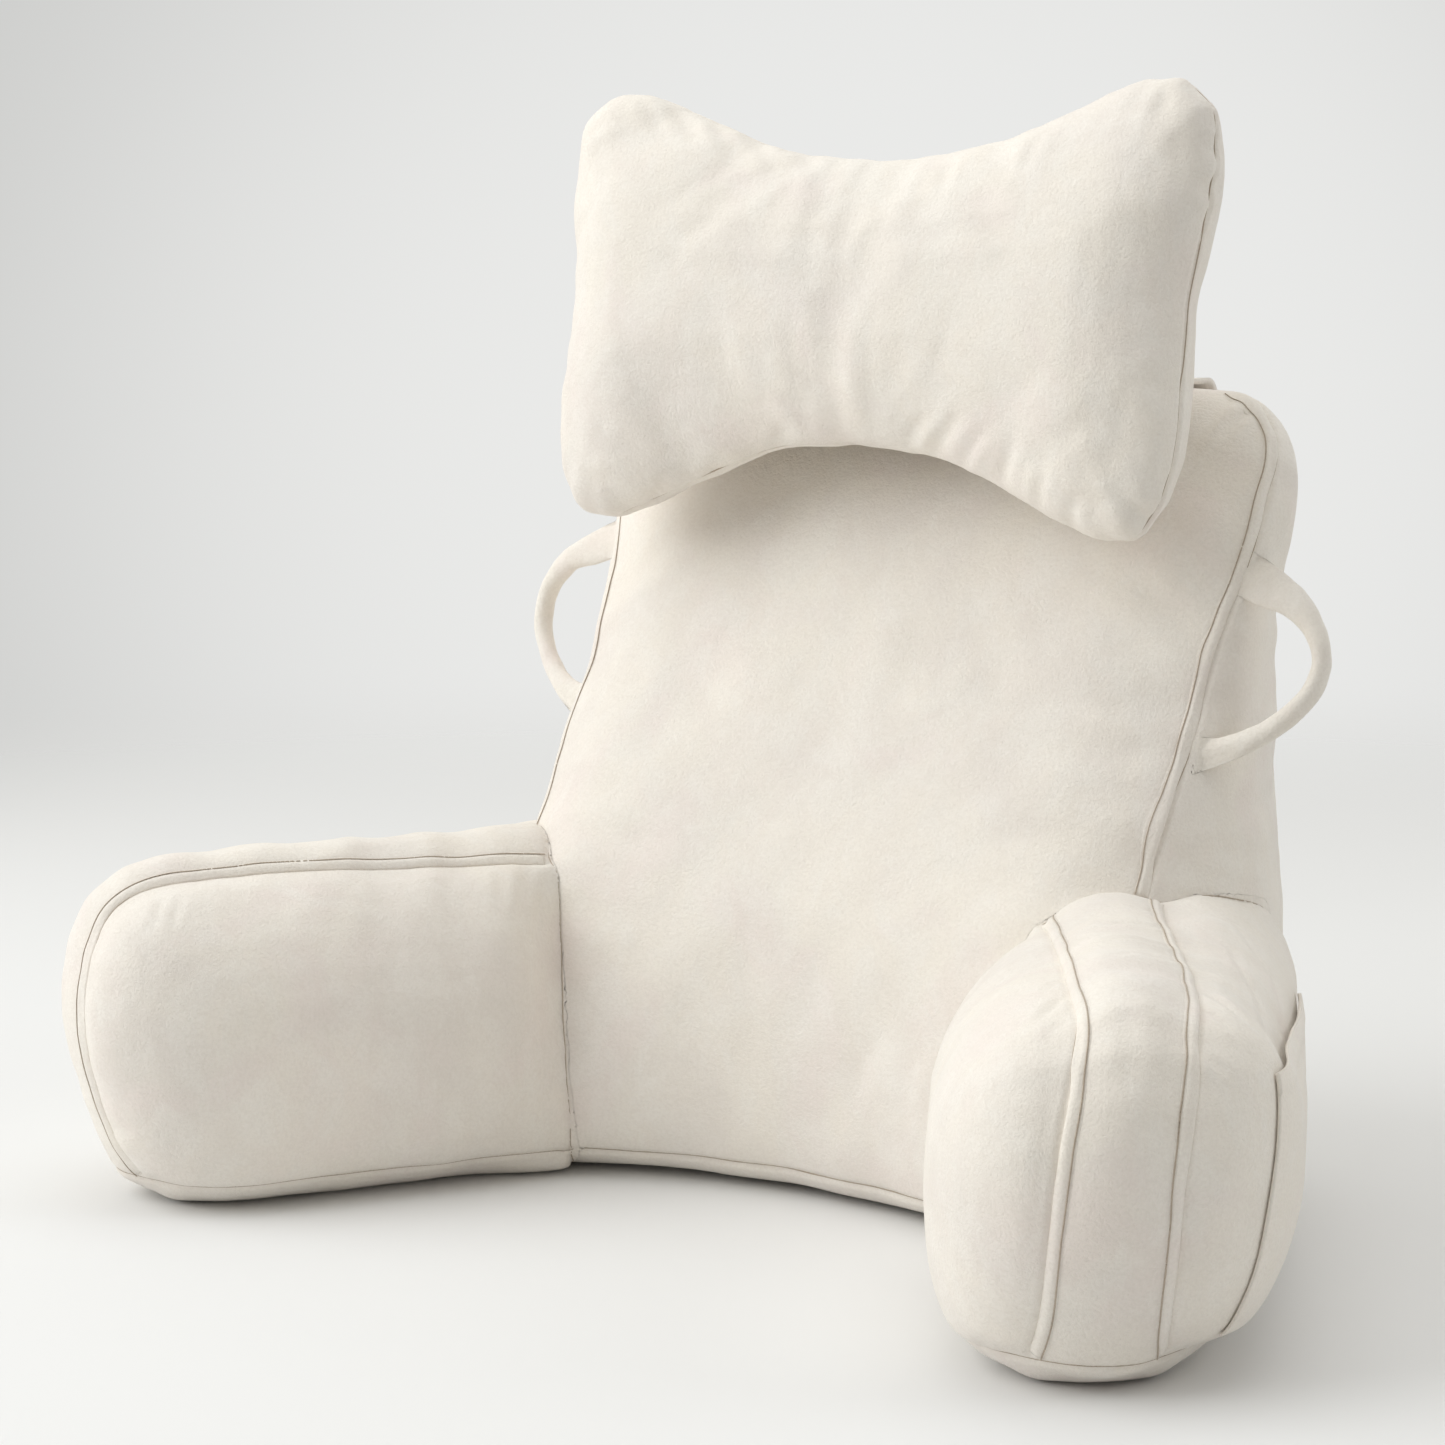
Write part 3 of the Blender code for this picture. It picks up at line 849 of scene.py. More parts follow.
def sewCushion(piece, make, seams, bands, puckers, seed, folds=()):
    # seams: (line, how strongly it puckers); bands: (line, direction of its stitches)
    surface = surfaceOf(piece)
    lines = [(layOn(line, surface)[0], strength) for line, strength in seams]
    stitched = [besideLine(line, surface, toward, bandLook["width"]) for line, toward in bands]
    points = readPoints(piece.data)
    base = None
    if make["baseSeam"] is not None:
        base = contour(piece, points[:, 2] - make["baseSeam"], lineStep)
        lines.append((base, sewing["basePucker"]))
    refineNear(piece, [line for line, _ in lines] + stitched, sewing["fine"])
    points, normals = readPoints(piece.data), readNormals(piece.data)
    for index, (line, strength) in enumerate(lines):
        look = {**puckers, "height": puckers["height"] * strength}
        pucker(points, normals, line, look, seed + 10 * index)
    dents = dentNoise(points, sewing["dentsFrom"], sewing["dentsTo"], seed)
    points += normals * (make["dents"] * dents)[:, None]
    for fold in folds:
        creaseAt(points, normals, surface, fold)
    for line, _ in lines:
        pressLine(points, normals, line, make["seamDepth"], sewing["groove"])
    for line in stitched:
        pressLine(points, normals, line, make["seamDepth"] * sewing["stitchDepth"],
                  sewing["stitchGroove"])
    points[:, 2] = np.maximum(points[:, 2], 0.0)
    writePoints(piece.data, points)
    piece.data.shade_smooth()
    return base


# folds as the photo shows them: depth and width in metres, then photo pixels
backFolds = (
    (0.0018, 0.006, (947, 1040), (932, 1095), (925, 1150)),
    (0.0011, 0.005, (966, 1015), (950, 1060), (940, 1105)),
    (0.0030, 0.004, (1222, 436), (1234, 421), (1247, 411)),
    (0.0016, 0.005, (1205, 428), (1222, 408), (1240, 392)),
    (0.0013, 0.010, (1180, 606), (1100, 590), (1010, 592)),
    (0.0011, 0.010, (1150, 574), (1080, 560), (1020, 556)),
    (0.0012, 0.007, (1226, 612), (1252, 618), (1280, 616)),
    (0.0012, 0.007, (1216, 660), (1246, 652), (1279, 640)),
    (0.0010, 0.008, (1206, 700), (1240, 700), (1276, 694)),
    (0.0012, 0.007, (1186, 820), (1224, 806), (1272, 800)),
    (0.0010, 0.006, (1172, 860), (1214, 852), (1268, 858)),
    (0.0008, 0.005, (1168, 878), (1200, 872), (1240, 880)),
    (0.0009, 0.006, (612, 560), (640, 575), (680, 580)),
    (0.0007, 0.006, (575, 1100), (600, 1085), (625, 1060)),
)
backBase = sewCushion(back, backMake, [(line, 1.0) for line in backEdges],
                      [(frontSeam[1], (-1, 0, 0)), (frontSeam[-1], (1, 0, 0))],
                      backPuckers, 100, backFolds)
backSurface = surfaceOf(back)
print("back sewn")


# The arms: an inner and an outer panel with a gusset between, over the top and down the end

armMake = {
    "voxel": 0.005,
    "smooth": 3,
    "pressure": 4.0,
    "fine": 3,
    "broad": 160,
    "keep": 0.24,
    "cap": 0.003,
    "bending": 1.0,
    "slack": 0.015,
    "gather": 0.08,
    "gatherReach": 0.014,
    "dents": 0.0009,
    "seamDepth": 0.0018,
    "baseSeam": 0.018,
    "splay": 31.0,
    "root": (0.209, -0.078),
    "rootDepth": 0.016,
    "shear": 0.12,
    "roll": 0.14,
    "rollEnd": 0.180,
    "rollFoot": 0.050,
}
# gusset: along, up, distance of its inner and outer seam from the middle plane
armGusset = (
    (-0.100, 0.212, 0.050, 0.060),
    (0.020, 0.207, 0.033, 0.038),
    (0.150, 0.206, 0.025, 0.045),
    (0.254, 0.205, 0.021, 0.047),
    (0.291, 0.199, 0.020, 0.046),
    (0.313, 0.181, 0.023, 0.044),
    (0.324, 0.150, 0.028, 0.040),
    (0.325, 0.115, 0.032, 0.036),
    (0.318, 0.078, 0.035, 0.034),
    (0.307, 0.046, 0.038, 0.031),
    (0.292, 0.023, 0.043, 0.030),
)
armPuckers = {"height": 0.0006, "wave": 0.013, "reach": 0.018}


def armPlace(along, across, up, side):
    turn = radians(armMake["splay"])
    fade = min(max(1.0 - along / armMake["rollEnd"], 0.0), 1.0)
    height = min(max(up / armMake["rollFoot"] - 1.0, 0.0), 1.0)
    run = along - armMake["shear"] * across
    x = armMake["root"][0] + sin(turn) * run + cos(turn) * across
    y = armMake["root"][1] - cos(turn) * run + sin(turn) * across
    return (side * x, y, up + armMake["roll"] * across * fade * height)


# the seam between the left arm's inner panel and the back, in photo pixels
jointPixels = ((541, 810), (555, 831), (561, 855), (562, 902), (563, 979), (567, 1068),
               (571, 1106), (574, 1135), (575, 1150))


jointMake = {
    "near": 0.0015,       # an arm's points this near to the back are laid on it
    "far": 0.004,
    "sewnNear": 0.0012,   # the same once its seams are sewn
    "sewnFar": 0.003,
    "relaxReach": 0.003,
    "relaxRounds": 4,
    "edge": 0.0015,       # gap at which the arm's edge on the back is read
    "seam": 0.0008,       # gap at which its seam is read
    "ease": 16,
    "step": 0.004,        # between the heights at which the edge is drawn
    "top": 0.204,
    "band": 0.005,
    "reach": 0.060,
    "end": 0.222,
    "fade": 0.022,
    "seamsEnd": 0.0045,   # the arm's own seams end this far from the back
}


def drawJoint(arm, side):
    # the arm's inner edge on the back is drawn sideways to the line of that seam
    seen = [backSurface.ray_cast(*photoRay(x, y))[0] for x, y in evenLine(jointPixels, 4.0)]
    seam = np.array([tuple(place) for place in seen if place is not None])
    seam = seam[np.argsort(seam[:, 2])]
    ring = contour(arm, signedGap(readPoints(arm.data), backSurface) - jointMake["edge"],
                   2 * lineStep, jointMake["ease"])
    levels = np.arange(jointMake["step"], jointMake["top"], jointMake["step"])
    moves, edge = [], []
    for level in levels:
        level = min(max(level, ring[:, 2].min() + lineStep), ring[:, 2].max() - lineStep)
        near = ring[np.abs(ring[:, 2] - level) < jointMake["band"]]
        near = near[np.argmin(np.abs(near[:, 0]))]
        x, y = (np.interp(level, seam[:, 2], seam[:, axis]) for axis in (0, 1))
        moves.append((side * abs(x) - near[0], y - near[1]))
        edge.append(near[:2])
    moves, edge = np.array(moves), np.array(edge)
    for table in (moves, edge):
        eased(table, 6)
    print("joint drawn by up to", np.round(np.abs(moves).max(axis=0), 4))
    points = readPoints(arm.data)
    edgeAt = np.stack([np.interp(points[:, 2], levels, edge[:, axis]) for axis in (0, 1)],
                      axis=1)
    away = np.linalg.norm(points[:, :2] - edgeAt, axis=1) / jointMake["reach"]
    share = easeInOut(np.clip(1.0 - away, 0.0, 1.0))
    share *= np.clip((jointMake["end"] - points[:, 2]) / jointMake["fade"], 0.0, 1.0)
    for axis in (0, 1):
        points[:, axis] += share * np.interp(points[:, 2], levels, moves[:, axis])
    writePoints(arm.data, points)


def makeArm(node, name, side, seed, folds=()):
    rows = smoothRows(armGusset, 120)
    inner = evenLine([armPlace(row[0], -row[2], row[1], side) for row in rows], lineStep)
    outer = evenLine([armPlace(row[0], row[3], row[1], side) for row in rows], lineStep)
    turn = radians(armMake["splay"])
    outwards = np.array((side * cos(turn), sin(turn), 0.0))
    arm = stuffedCushion(node, name, armMake, [inner, outer],
                         surfaceOf(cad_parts["back_cushion"]))
    settleOn(arm, backSurface, sewnGap, jointMake["near"], jointMake["far"])
    relax(arm, backSurface, jointMake["relaxReach"], jointMake["relaxRounds"])
    drawJoint(arm, side)
    settleOn(arm, backSurface, sewnGap, jointMake["near"], jointMake["far"])
    joint = contour(arm, signedGap(readPoints(arm.data), backSurface) - jointMake["seam"],
                    lineStep, jointMake["ease"])
    inner, outer = (max(outsideRuns(line, [backSurface], jointMake["seamsEnd"]), key=len)
                    for line in (inner, outer))
    banded = [(inner, outwards), (outer, -outwards)]
    base = sewCushion(arm, armMake, [(inner, 1.0), (outer, 1.0)], banded, armPuckers, seed,
                      folds)
    settleOn(arm, backSurface, sewnGap, jointMake["sewnNear"], jointMake["sewnFar"])
    surface = surfaceOf(arm)
    bands = sewBand(name, banded, surface)
    joint = besideLine(joint, backSurface, (0, 0, 1), 0.0)
    # dark tubes along the arm's seams and along its joint with the back: painted seam shade
    seamShade = seamShadeLine(name + "Seams", outsideRuns(base, [backSurface]) + [inner, outer], surface,
                    seamShadeMake["armRadius"])
    jointShade = seamShadeLine(name + "Joint", [joint], backSurface, sink=seamShadeMake["jointSink"])
    return arm, surface, bands + [seamShade, jointShade]


armRightFolds = (
    (0.0020, 0.0035, (1066, 996), (1052, 1006), (1036, 1020)),
    (0.0012, 0.0030, (1067, 980), (1054, 984), (1042, 993)),
    (0.0008, 0.0030, (1063, 1020), (1052, 1030), (1044, 1042)),
    (0.0022, 0.0038, (1204, 990), (1224, 1002), (1248, 1024)),
    (0.0014, 0.0032, (1206, 1012), (1224, 1022), (1240, 1038)),
    (0.0010, 0.0030, (1206, 1058), (1218, 1064), (1230, 1074)),
    (0.0006, 0.0024, (1074, 912), (1116, 905), (1162, 912)),
    (0.0007, 0.0024, (1078, 928), (1124, 922), (1170, 930)),
    (0.0007, 0.0024, (1082, 944), (1130, 938), (1176, 946)),
    (0.0006, 0.0024, (1086, 960), (1134, 953), (1184, 963)),
    (0.0009, 0.0034, (1186, 902), (1236, 926), (1272, 980), (1288, 1040)),
    (0.0008, 0.0032, (1192, 922), (1232, 950), (1258, 1000), (1270, 1056)),
    (0.0007, 0.0030, (1212, 906), (1252, 926), (1284, 968)),
    (0.0008, 0.0060, (1124, 1010), (1132, 1050), (1120, 1100)),
    (0.0007, 0.0040, (990, 1330), (982, 1345), (978, 1356)),
)
armLeftFolds = (
    (0.0011, 0.0036, (166, 894), (158, 912), (154, 934)),
    (0.0010, 0.0036, (181, 892), (175, 910), (170, 930)),
    (0.0010, 0.0050, (531, 862), (526, 890), (521, 925)),
    (0.0012, 0.0050, (548, 868), (541, 902), (536, 940)),
    (0.0007, 0.0044, (503, 867), (500, 888), (499, 910)),
    (0.0008, 0.0040, (110, 1128), (122, 1132), (136, 1140)),
    (0.0007, 0.0040, (104, 1098), (116, 1104), (128, 1112)),
)
armRight, rightSurface, rightTrim = makeArm("arm_right", "armRight", 1, 300, armRightFolds)
armLeft, leftSurface, leftTrim = makeArm("arm_left", "armLeft", -1, 400, armLeftFolds)
print("arms sewn")

backLines = []
for line in (frontSeam[1], frontSeam[-1]):
    backLines += outsideRuns(line, [rightSurface, leftSurface])
frontRuns = [(line, (-1, 0, 0) if line[0][0] > 0 else (1, 0, 0)) for line in backLines]
backTrim = sewBand("back", frontRuns, backSurface)
for line in (rearSeam[1], rearSeam[-1], backBase):
    backLines += outsideRuns(line, [rightSurface, leftSurface])
# dark tubes along the back's seams: painted seam shade
backTrim.append(seamShadeLine("backSeams", backLines, backSurface))
print("back trimmed")


# The headrest: two panels sewn edge to edge in a bow-tie outline

headMake = {
    "voxel": 0.0042,
    "smooth": 2,
    "pressure": 4.5,
    "fine": 3,
    "broad": 200,
    "keep": 0.28,
    "cap": 0.0025,
    "bending": 0.8,
    "slack": 0.02,
    "gather": 0.07,
    "gatherReach": 0.016,
    "dents": 0.0010,
    "seamDepth": 0.0026,
    "baseSeam": None,
    "centre": (0.0, -0.012, 0.567),
    "lean": 10.0,
}
headOutline = (
    (0.000, 0.095), (0.062, 0.101), (0.135, 0.122), (0.186, 0.141), (0.215, 0.142),
    (0.237, 0.122), (0.239, 0.080), (0.231, 0.005), (0.233, -0.070), (0.227, -0.118),
    (0.208, -0.143), (0.180, -0.141), (0.135, -0.123), (0.072, -0.097), (0.000, -0.089),
)
headPuckers = {"height": 0.0009, "wave": 0.015, "reach": 0.022}

headHalf = list(headOutline)
headRing = smoothRows(headHalf + [(-x, up) for x, up in headHalf[-2:0:-1]], 400, closed=True)
headLean = radians(headMake["lean"])
headSeam = evenLine([(x, headMake["centre"][1] + sin(headLean) * up,
                      headMake["centre"][2] + cos(headLean) * up)
                     for x, up in np.vstack([headRing, headRing[:1]])], lineStep)
headrest = stuffedCushion("headrest", "headrestCushion", headMake, [headSeam])
headFolds = (
    (0.0015, 0.0045, (905, 448), (914, 432), (926, 414)),
    (0.0018, 0.0045, (932, 455), (944, 436), (960, 412)),
    (0.0018, 0.0045, (962, 466), (972, 448), (988, 426)),
    (0.0016, 0.0045, (1000, 484), (1006, 464), (1014, 440)),
    (0.0015, 0.0045, (1038, 508), (1040, 488), (1044, 466)),
    (0.0013, 0.0045, (1070, 530), (1072, 512), (1076, 494)),
    (0.0014, 0.0045, (640, 98), (650, 112), (664, 130)),
    (0.0016, 0.0050, (670, 104), (684, 122), (700, 144)),
    (0.0016, 0.0050, (708, 116), (722, 136), (738, 160)),
    (0.0014, 0.0050, (750, 132), (764, 152), (778, 176)),
    (0.0012, 0.0050, (800, 148), (812, 166), (820, 186)),
    (0.0011, 0.0050, (950, 160), (944, 178), (940, 196)),
    (0.0012, 0.0050, (1040, 132), (1030, 152), (1024, 172)),
    (0.0022, 0.0050, (1230, 140), (1216, 146), (1200, 148)),
    (0.0022, 0.0050, (1222, 186), (1208, 188), (1194, 186)),
    (0.0016, 0.0050, (1168, 84), (1164, 98), (1158, 114)),
    (0.0012, 0.0050, (648, 514), (656, 496), (668, 476)),
    (0.0013, 0.0050, (700, 492), (712, 472), (724, 452)),
    (0.0012, 0.0050, (770, 462), (778, 444), (788, 424)),
    (0.0012, 0.0045, (1150, 524), (1140, 512), (1128, 500)),
)
sewCushion(headrest, headMake, [(headSeam, 1.0)], [], headPuckers, 500, headFolds)
restOn(headrest, backSurface)
headSurface = surfaceOf(headrest)
# a dark tube along the rim seam: painted seam shade
headTrim = [seamShadeLine("headrestSeam", [headSeam], headSurface)]
print("headrest sewn")


# The flap that holds the headrest, over the back's top edge

flapMake = {
    "spacing": 0.0032,
    "columns": 40,
    "halfWidth": 0.165,
    "cloth": 0.0030,
    "hem": 0.012,
    "hemShare": 0.3,      # how much thicker the hem is on its upper side
    "ripple": 0.0004,
    "rippleWaves": (0.02, 0.06),
}
# y, z, how far the side edges bend in towards the rear panel
flapPath = (
    (0.0536, 0.6040, 0.000), (0.0531, 0.5880, 0.000), (0.0504, 0.5680, 0.000),
    (0.0512, 0.5480, 0.000), (0.0640, 0.5280, 0.000), (0.0960, 0.5202, 0.000),
    (0.1240, 0.5190, 0.000), (0.1430, 0.5188, 0.001), (0.1535, 0.5110, 0.003),
    (0.1612, 0.5000, 0.005), (0.1700, 0.4790, 0.007), (0.1764, 0.4500, 0.007),
    (0.1801, 0.4100, 0.007),
)


def makeFlap(name):
    path = evenLine(smoothRows(flapPath, 400), flapMake["spacing"])
    ahead = unit(np.gradient(path[:, :2], axis=0))
    square = np.stack([-ahead[:, 1], ahead[:, 0]], axis=1)
    columns = np.linspace(-1.0, 1.0, flapMake["columns"] + 1)
    grid = []
    for (y, z, hug), (outY, outZ) in zip(path, square):
        for share in columns:
            edge = flapMake["halfWidth"] * (1.0 - abs(share))
            thick = flapMake["hemShare"] if edge < flapMake["hem"] else 0.0
            place = np.array((flapMake["halfWidth"] * share, y - hug * share ** 4, z))
            grid.append((place, np.array((0.0, outY, outZ)), thick))
    ripple = flapMake["ripple"] * dentNoise(np.array([item[0] for item in grid]),
                                            *flapMake["rippleWaves"], 620)
    half = flapMake["cloth"] / 2
    under = [place + out * (wave - half) for (place, out, thick), wave in zip(grid, ripple)]
    over = [place + out * (wave + half * (1 + thick))
            for (place, out, thick), wave in zip(grid, ripple)]
    return slab(name, under, over, len(columns), len(path))


def slab(name, under, over, across, rows):
    # two grids of points joined round their rim into one closed piece
    count = across * rows
    faces = []
    for row in range(rows - 1):
        for column in range(across - 1):
            corner = row * across + column
            quad = (corner, corner + 1, corner + across + 1, corner + across)
            faces.append(quad)
            faces.append(tuple(count + index for index in reversed(quad)))
    rim = list(range(across))
    rim += [across * (row + 1) - 1 for row in range(1, rows)]
    rim += list(range(count - 2, count - across - 1, -1))
    rim += [across * row for row in range(rows - 2, 0, -1)]
    for here, following in zip(rim, rim[1:] + rim[:1]):
        faces.append((following, here, count + here, count + following))
    return newPiece(name, under + over, faces, clothBody)


flap = makeFlap("headrestFlap")
restOn(flap, backSurface)
restOn(flap, headSurface)
print("flap made")


# The handles: sewn strips that come flat out of the side seam and round over in the middle

handleMake = {
    "rings": 120,
    "sides": 20,
    "square": 2.1,        # above 2 makes the section boxier
    "wrinkles": 0.0004,
    "wrinkleWaves": (0.010, 0.035),
    "opensAt": (0.16, 0.80),      # shares of the handle's length
    "openRun": 0.12,
    "tuck": 0.0026,       # the strip's inner half steps back where it opens out
}
# x, y, z, half width in the loop's plane, half width square to it
handlePath = (
    (0.2380, 0.0440, 0.4060, 0.0150, 0.0022),
    (0.2560, 0.0425, 0.3990, 0.0134, 0.0034),
    (0.2800, 0.0385, 0.3880, 0.0094, 0.0058),
    (0.2955, 0.0360, 0.3700, 0.0066, 0.0074),
    (0.3000, 0.0330, 0.3500, 0.0056, 0.0080),
    (0.2940, 0.0260, 0.3320, 0.0058, 0.0078),
    (0.2760, 0.0140, 0.3130, 0.0064, 0.0066),
    (0.2540, 0.0010, 0.3010, 0.0086, 0.0044),
    (0.2300, -0.0090, 0.2950, 0.0125, 0.0022),
)


def makeHandle(name, side, seed):
    rows = smoothRows(handlePath, handleMake["rings"])
    path = rows[:, :3]
    ahead = unit(np.gradient(path, axis=0))
    plane = np.cross(path[0] - path[-1], (1.0, 0.0, 0.0))
    plane /= np.linalg.norm(plane)
    points = []
    size = handleMake["sides"]
    for here, direction, across, thick in zip(path, ahead, rows[:, 3], rows[:, 4]):
        inwards = np.cross(direction, plane)
        inwards /= np.linalg.norm(inwards)
        for step in range(size):
            turn = 2 * pi * step / size
            power = 2.0 / handleMake["square"]
            one = np.sign(cos(turn)) * abs(cos(turn)) ** power
            other = np.sign(sin(turn)) * abs(sin(turn)) ** power
            points.append(here + inwards * across * one + plane * thick * other)
    points = np.array(points)
    out = unit(points - np.repeat(path, size, axis=0))
    wave = dentNoise(points, *handleMake["wrinkleWaves"], seed)
    points += out * (handleMake["wrinkles"] * wave)[:, None]
    # the inner front edge steps back where the strip opens out, near both ends
    part = np.repeat(np.linspace(0.0, 1.0, len(path)), size)
    first, last = handleMake["opensAt"]
    opened = np.clip((part - last) / handleMake["openRun"], 0.0, 1.0)
    opened += np.clip((first - part) / handleMake["openRun"], 0.0, 1.0)
    step = np.tile(2 * pi * np.arange(size) / size, len(path))
    rearwards = plane * np.sign(plane[1])
    front = np.sign(plane[1]) * np.sin(step) < -0.2
    tucked = front * np.clip(np.cos(step) * 4.0 - 0.4, 0.0, 1.0) * opened
    points += rearwards * (handleMake["tuck"] * tucked)[:, None]
    points[:, 0] *= side
    return newPiece(name, points, tubeFaces(0, len(path), size), clothHandle)


handleRight = makeHandle("handleRight", 1, 710)
handleLeft = makeHandle("handleLeft", -1, 730)
for handle in (handleRight, handleLeft):
    restOn(handle, backSurface)
print("handles made")


# The pocket: a patch on the right arm's outer side, open at the top

pocketMake = {
    "rear": -0.020,
    "cloth": 0.0013,
    "standOff": 0.0011,
    "gape": 0.0030,
    "rounds": 160,
    "lastRounds": 12,     # of them without lifting the cloth off the arm again
    "across": 110,
    "up": 60,
    "height": 0.145,
    "hem": 0.016,
    "hemThicker": 0.0009,
}
# front edge along the arm, its height, the rear edge's height level with it
pocketEdges = (
    (0.276, 0.030, 0.026),
    (0.282, 0.060, 0.055),
    (0.283, 0.100, 0.092),
    (0.278, 0.140, 0.128),
    (0.267, 0.170, 0.154),
)


def makePocket(name, surface):
    turn = radians(armMake["splay"])
    ahead = Vector((sin(turn), -cos(turn), 0.0))
    outwards = Vector((cos(turn), sin(turn), 0.0))
    root = Vector((*armMake["root"], 0.0))
    size, rows = pocketMake["across"], pocketMake["up"]
    flat, heights, lifts, thick = (np.zeros((rows, size, width)) for width in (3, 1, 1, 1))
    for row, (front, frontUp, rearUp) in enumerate(smoothRows(pocketEdges, rows)):
        rise = row / (rows - 1)
        for column in range(size):
            part = column / (size - 1)
            along = front + (pocketMake["rear"] - front) * part
            up = frontUp + (rearUp - frontUp) * part
            start = root + ahead * along + outwards * 0.3 + Vector((0.0, 0.0, up))
            flat[row, column] = start
            heights[row, column] = -surface.ray_cast(start, -outwards)[3]
            lifts[row, column] = (pocketMake["standOff"] + pocketMake["gape"]
                                  * sin(pi * part) ** 0.6 * rise ** 2)
            thick[row, column] = pocketMake["cloth"]
            if (1.0 - rise) * pocketMake["height"] < pocketMake["hem"]:
                thick[row, column] += pocketMake["hemThicker"]
    skin = heights.copy()
    for count in range(pocketMake["rounds"]):        # the cloth bridges the arm's dents
        eased(skin)
        eased(skin.swapaxes(0, 1))
        if count < pocketMake["rounds"] - pocketMake["lastRounds"]:
            skin = np.maximum(skin, heights)
    skin = flat + np.array(outwards) * skin
    ups = np.cross(np.gradient(skin, axis=1), np.gradient(skin, axis=0))
    ups *= np.sign((ups @ np.array(outwards)).sum())
    ups /= np.linalg.norm(ups, axis=2)[:, :, None]
    under = skin + ups * lifts
    over = under + ups * thick
    return slab(name, list(under.reshape(-1, 3)), list(over.reshape(-1, 3)), size, rows)


pocket = makePocket("sidePocket", rightSurface)
restOn(pocket, rightSurface)
print("pocket made")


# What each piece stands for, the finish slot named for it (not used) and its trim; every piece
# rides on the root

madeFor = (
    (back, "back_cushion", "cream_cloth", backTrim),
    (armRight, "arm_right", "cream_cloth_light", rightTrim),
    (armLeft, "arm_left", "cream_cloth_light", leftTrim),
    (headrest, "headrest", "cream_cloth_light", headTrim),
    (flap, "headrest_strap", "cream_cloth_warm", []),
    (handleRight, "handle_right", "cream_cloth_warm", []),
    (handleLeft, "handle_left", "cream_cloth_warm", []),
    (pocket, "pocket", "cream_cloth_warm", []),
)
for piece, node, slotName, trim in madeFor:
    for part in [piece] + trim:
        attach(part, "root")
    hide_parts(node)


# Floor and light

studio = {
    "floorRadius": 5.0,
    "floorSides": 96,
    "floorDrop": 0.0004,
    "floorColour": (0.800, 0.799, 0.792),
    "floorRoughness": 0.8,
    "floorSpecular": 0.1,
    "floorFade": (0.9, 3.0),      # distances at which the floor thins out and is gone
    "skyLow": (0.845, 0.840, 0.825),
    "skyHigh": (0.830, 0.818, 0.785),
    "skyTurn": (-0.30, -0.06),    # upward part of the direction, from low to high
    "glow": (0.800, 0.802, 0.790),
    "glowEdge": (0.600, 0.602, 0.590),
    "glowPixel": (900, 480),      # photo pixel behind which the backdrop is brightest
    "glowFade": (17.0, 2.0),      # degrees from the glow's middle
    "glowReach": (34.0, 19.0),
    "glowAbove": (-0.30, -0.13),
    "dimSide": (0.90, -0.43, 0.0),
    "dimFade": (-0.6, 0.9),
    "dimTo": 0.36,
    "skyStrength": 1.03,
    "keyPlace": (-2.2, -2.2, 2.3),
    "keySize": 3.8,
    "keyPower": 84.0,
    "topPlace": (0.2, 0.1, 3.0),
    "topSize": 2.6,
    "topPower": 17.0,
    "rimPlace": (2.6, 1.1, 1.9),
    "rimSize": 1.8,
    "rimPower": 16.0,
    "lightColour": (0.960, 0.985, 1.0),
    "lightTarget": (0.0, 0.0, 0.3),
}


def areaLight(name):
    data = bpy.data.lights.new(name + "Light", "AREA")
    data.shape = "DISK"
    data.size = studio[name + "Size"]
    data.energy = studio[name + "Power"]
    data.color = studio["lightColour"]
    light = bpy.data.objects.new(name + "Light", data)
    light.location = studio[name + "Place"]
    aim = Vector(studio["lightTarget"]) - Vector(studio[name + "Place"])
    light.rotation_euler = aim.to_track_quat("-Z", "Y").to_euler()
    scene.collection.objects.link(light)


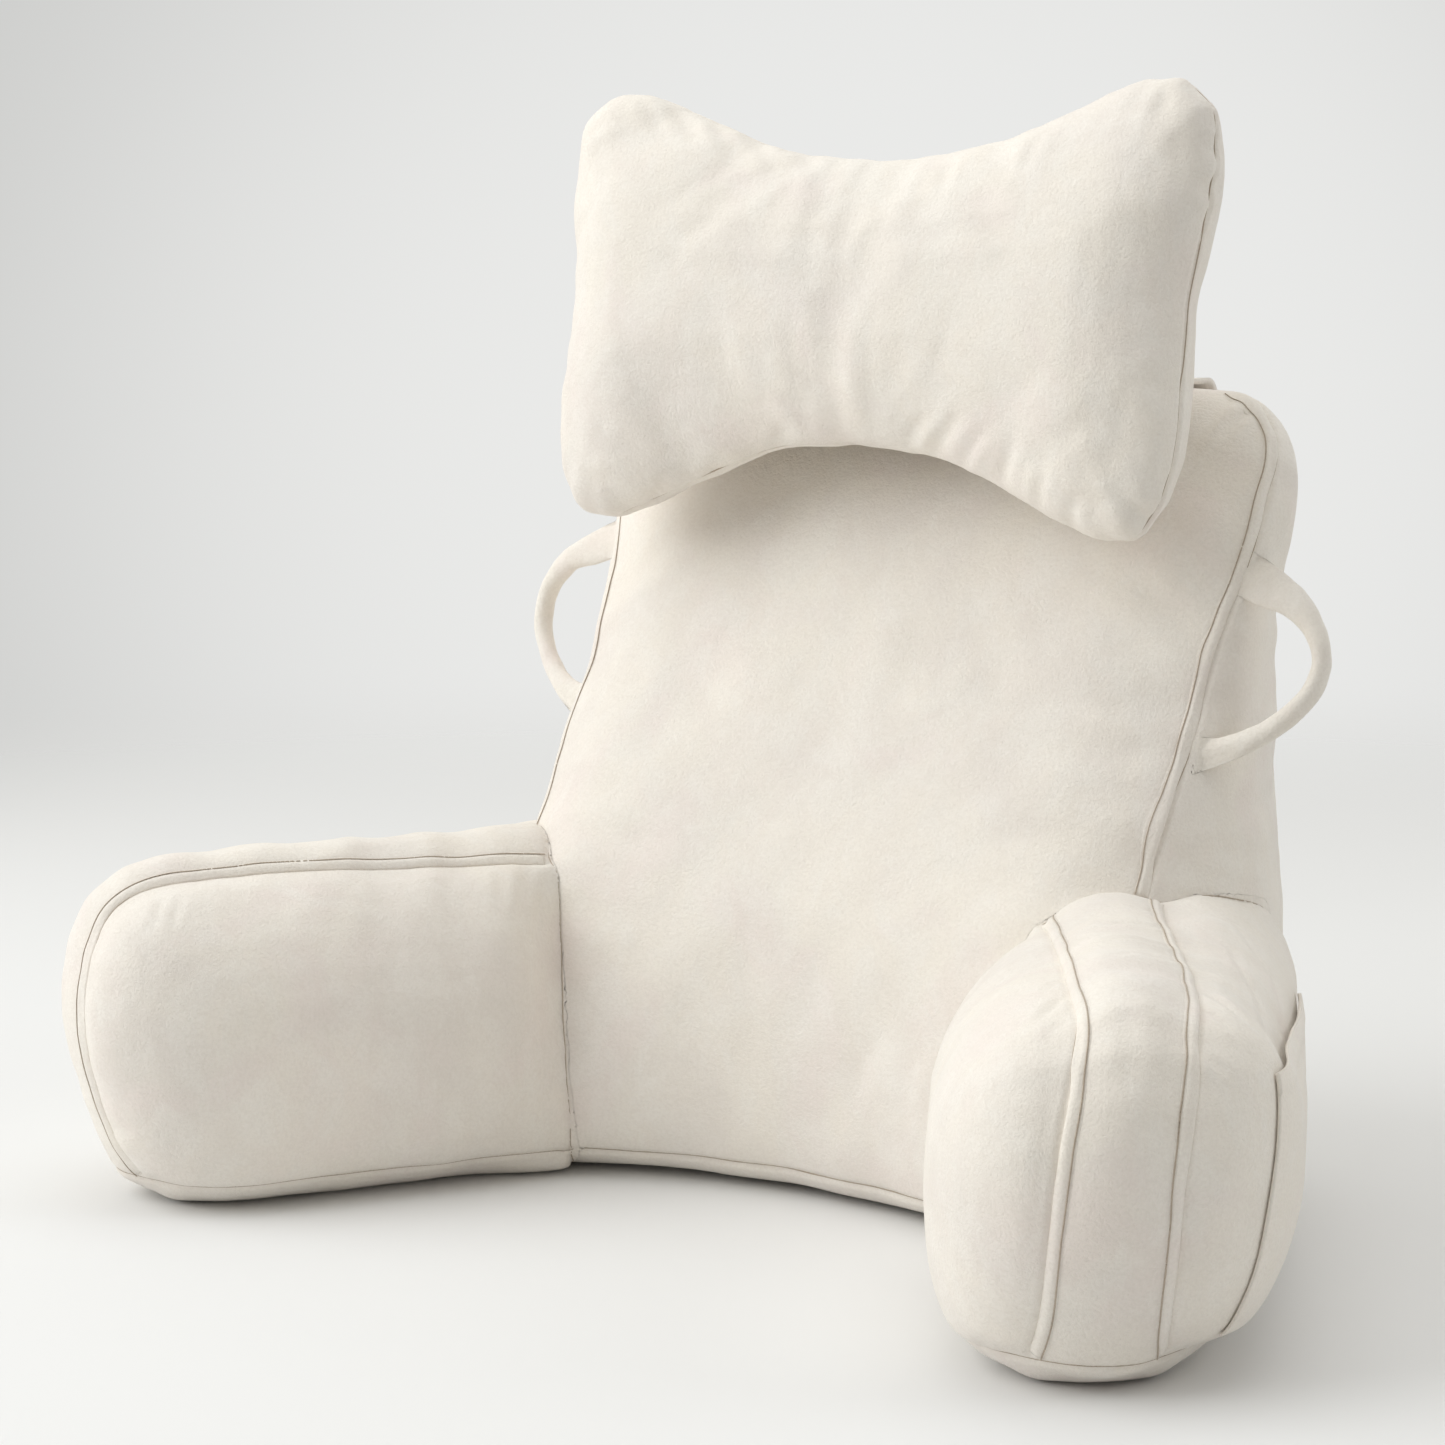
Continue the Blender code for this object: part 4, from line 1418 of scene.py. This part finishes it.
def makeFloor():
    bpy.ops.object.select_all(action="DESELECT")
    bpy.ops.mesh.primitive_circle_add(vertices=studio["floorSides"],
                                      radius=studio["floorRadius"], fill_type="NGON",
                                      location=(0, 0, -studio["floorDrop"]))
    floor = bpy.context.active_object
    bpy.ops.object.transform_apply(location=True)
    floor.name = "studioFloor"
    material = bpy.data.materials.new("studioFloor")
    material.use_nodes = True
    tree = material.node_tree
    nodes, links = tree.nodes, tree.links
    shader = nodes["Principled BSDF"]
    shader.inputs["Base Color"].default_value = (*studio["floorColour"], 1.0)
    shader.inputs["Roughness"].default_value = studio["floorRoughness"]
    shader.inputs["Specular IOR Level"].default_value = studio["floorSpecular"]
    where = nodes.new("ShaderNodeTexCoord")
    length = nodes.new("ShaderNodeVectorMath")
    length.operation = "LENGTH"
    links.new(where.outputs["Object"], length.inputs[0])
    fade = rangeNode(tree, length.outputs["Value"], studio["floorFade"], curve="SMOOTHERSTEP")
    clear = nodes.new("ShaderNodeBsdfTransparent")
    mixed = nodes.new("ShaderNodeMixShader")
    links.new(fade, mixed.inputs["Fac"])
    links.new(shader.outputs["BSDF"], mixed.inputs[1])
    links.new(clear.outputs["BSDF"], mixed.inputs[2])
    links.new(mixed.outputs["Shader"], nodes["Material Output"].inputs["Surface"])
    floor.data.materials.append(material)


def makeSky():
    world = bpy.data.worlds.new("studioSky")
    scene.world = world
    world.use_nodes = True
    tree = world.node_tree
    nodes, links = tree.nodes, tree.links
    background = nodes["Background"]
    background.inputs["Strength"].default_value = studio["skyStrength"]
    where = nodes.new("ShaderNodeTexCoord")

    def facing(direction):
        dot = nodes.new("ShaderNodeVectorMath")
        dot.operation = "DOT_PRODUCT"
        links.new(where.outputs["Generated"], dot.inputs[0])
        dot.inputs[1].default_value = direction
        return dot.outputs["Value"]

    up = facing((0.0, 0.0, 1.0))
    colour = mixNode(tree, rangeNode(tree, up, studio["skyTurn"]), studio["skyLow"],
                     studio["skyHigh"])
    dimmed = mixNode(tree, 1.0, colour, (studio["dimTo"],) * 3, "MULTIPLY")
    sideways = rangeNode(tree, facing(studio["dimSide"]), studio["dimFade"])
    colour = mixNode(tree, sideways, colour, dimmed)
    # the backdrop behind the pillow, above the floor
    ahead = facing(tuple(photoRay(*studio["glowPixel"])[1]))
    fade, reach = ([cos(radians(angle)) for angle in studio[name]]
                   for name in ("glowFade", "glowReach"))
    glow = mixNode(tree, rangeNode(tree, ahead, fade), studio["glowEdge"], studio["glow"])
    both = nodes.new("ShaderNodeMath")
    both.operation = "MULTIPLY"
    links.new(rangeNode(tree, ahead, reach), both.inputs[0])
    links.new(rangeNode(tree, up, studio["glowAbove"]), both.inputs[1])
    colour = mixNode(tree, both.outputs["Value"], colour, glow)
    links.new(colour, background.inputs["Color"])


makeFloor()
makeSky()
for lightName in ("key", "top", "rim"):
    areaLight(lightName)
print("floor and lights set")
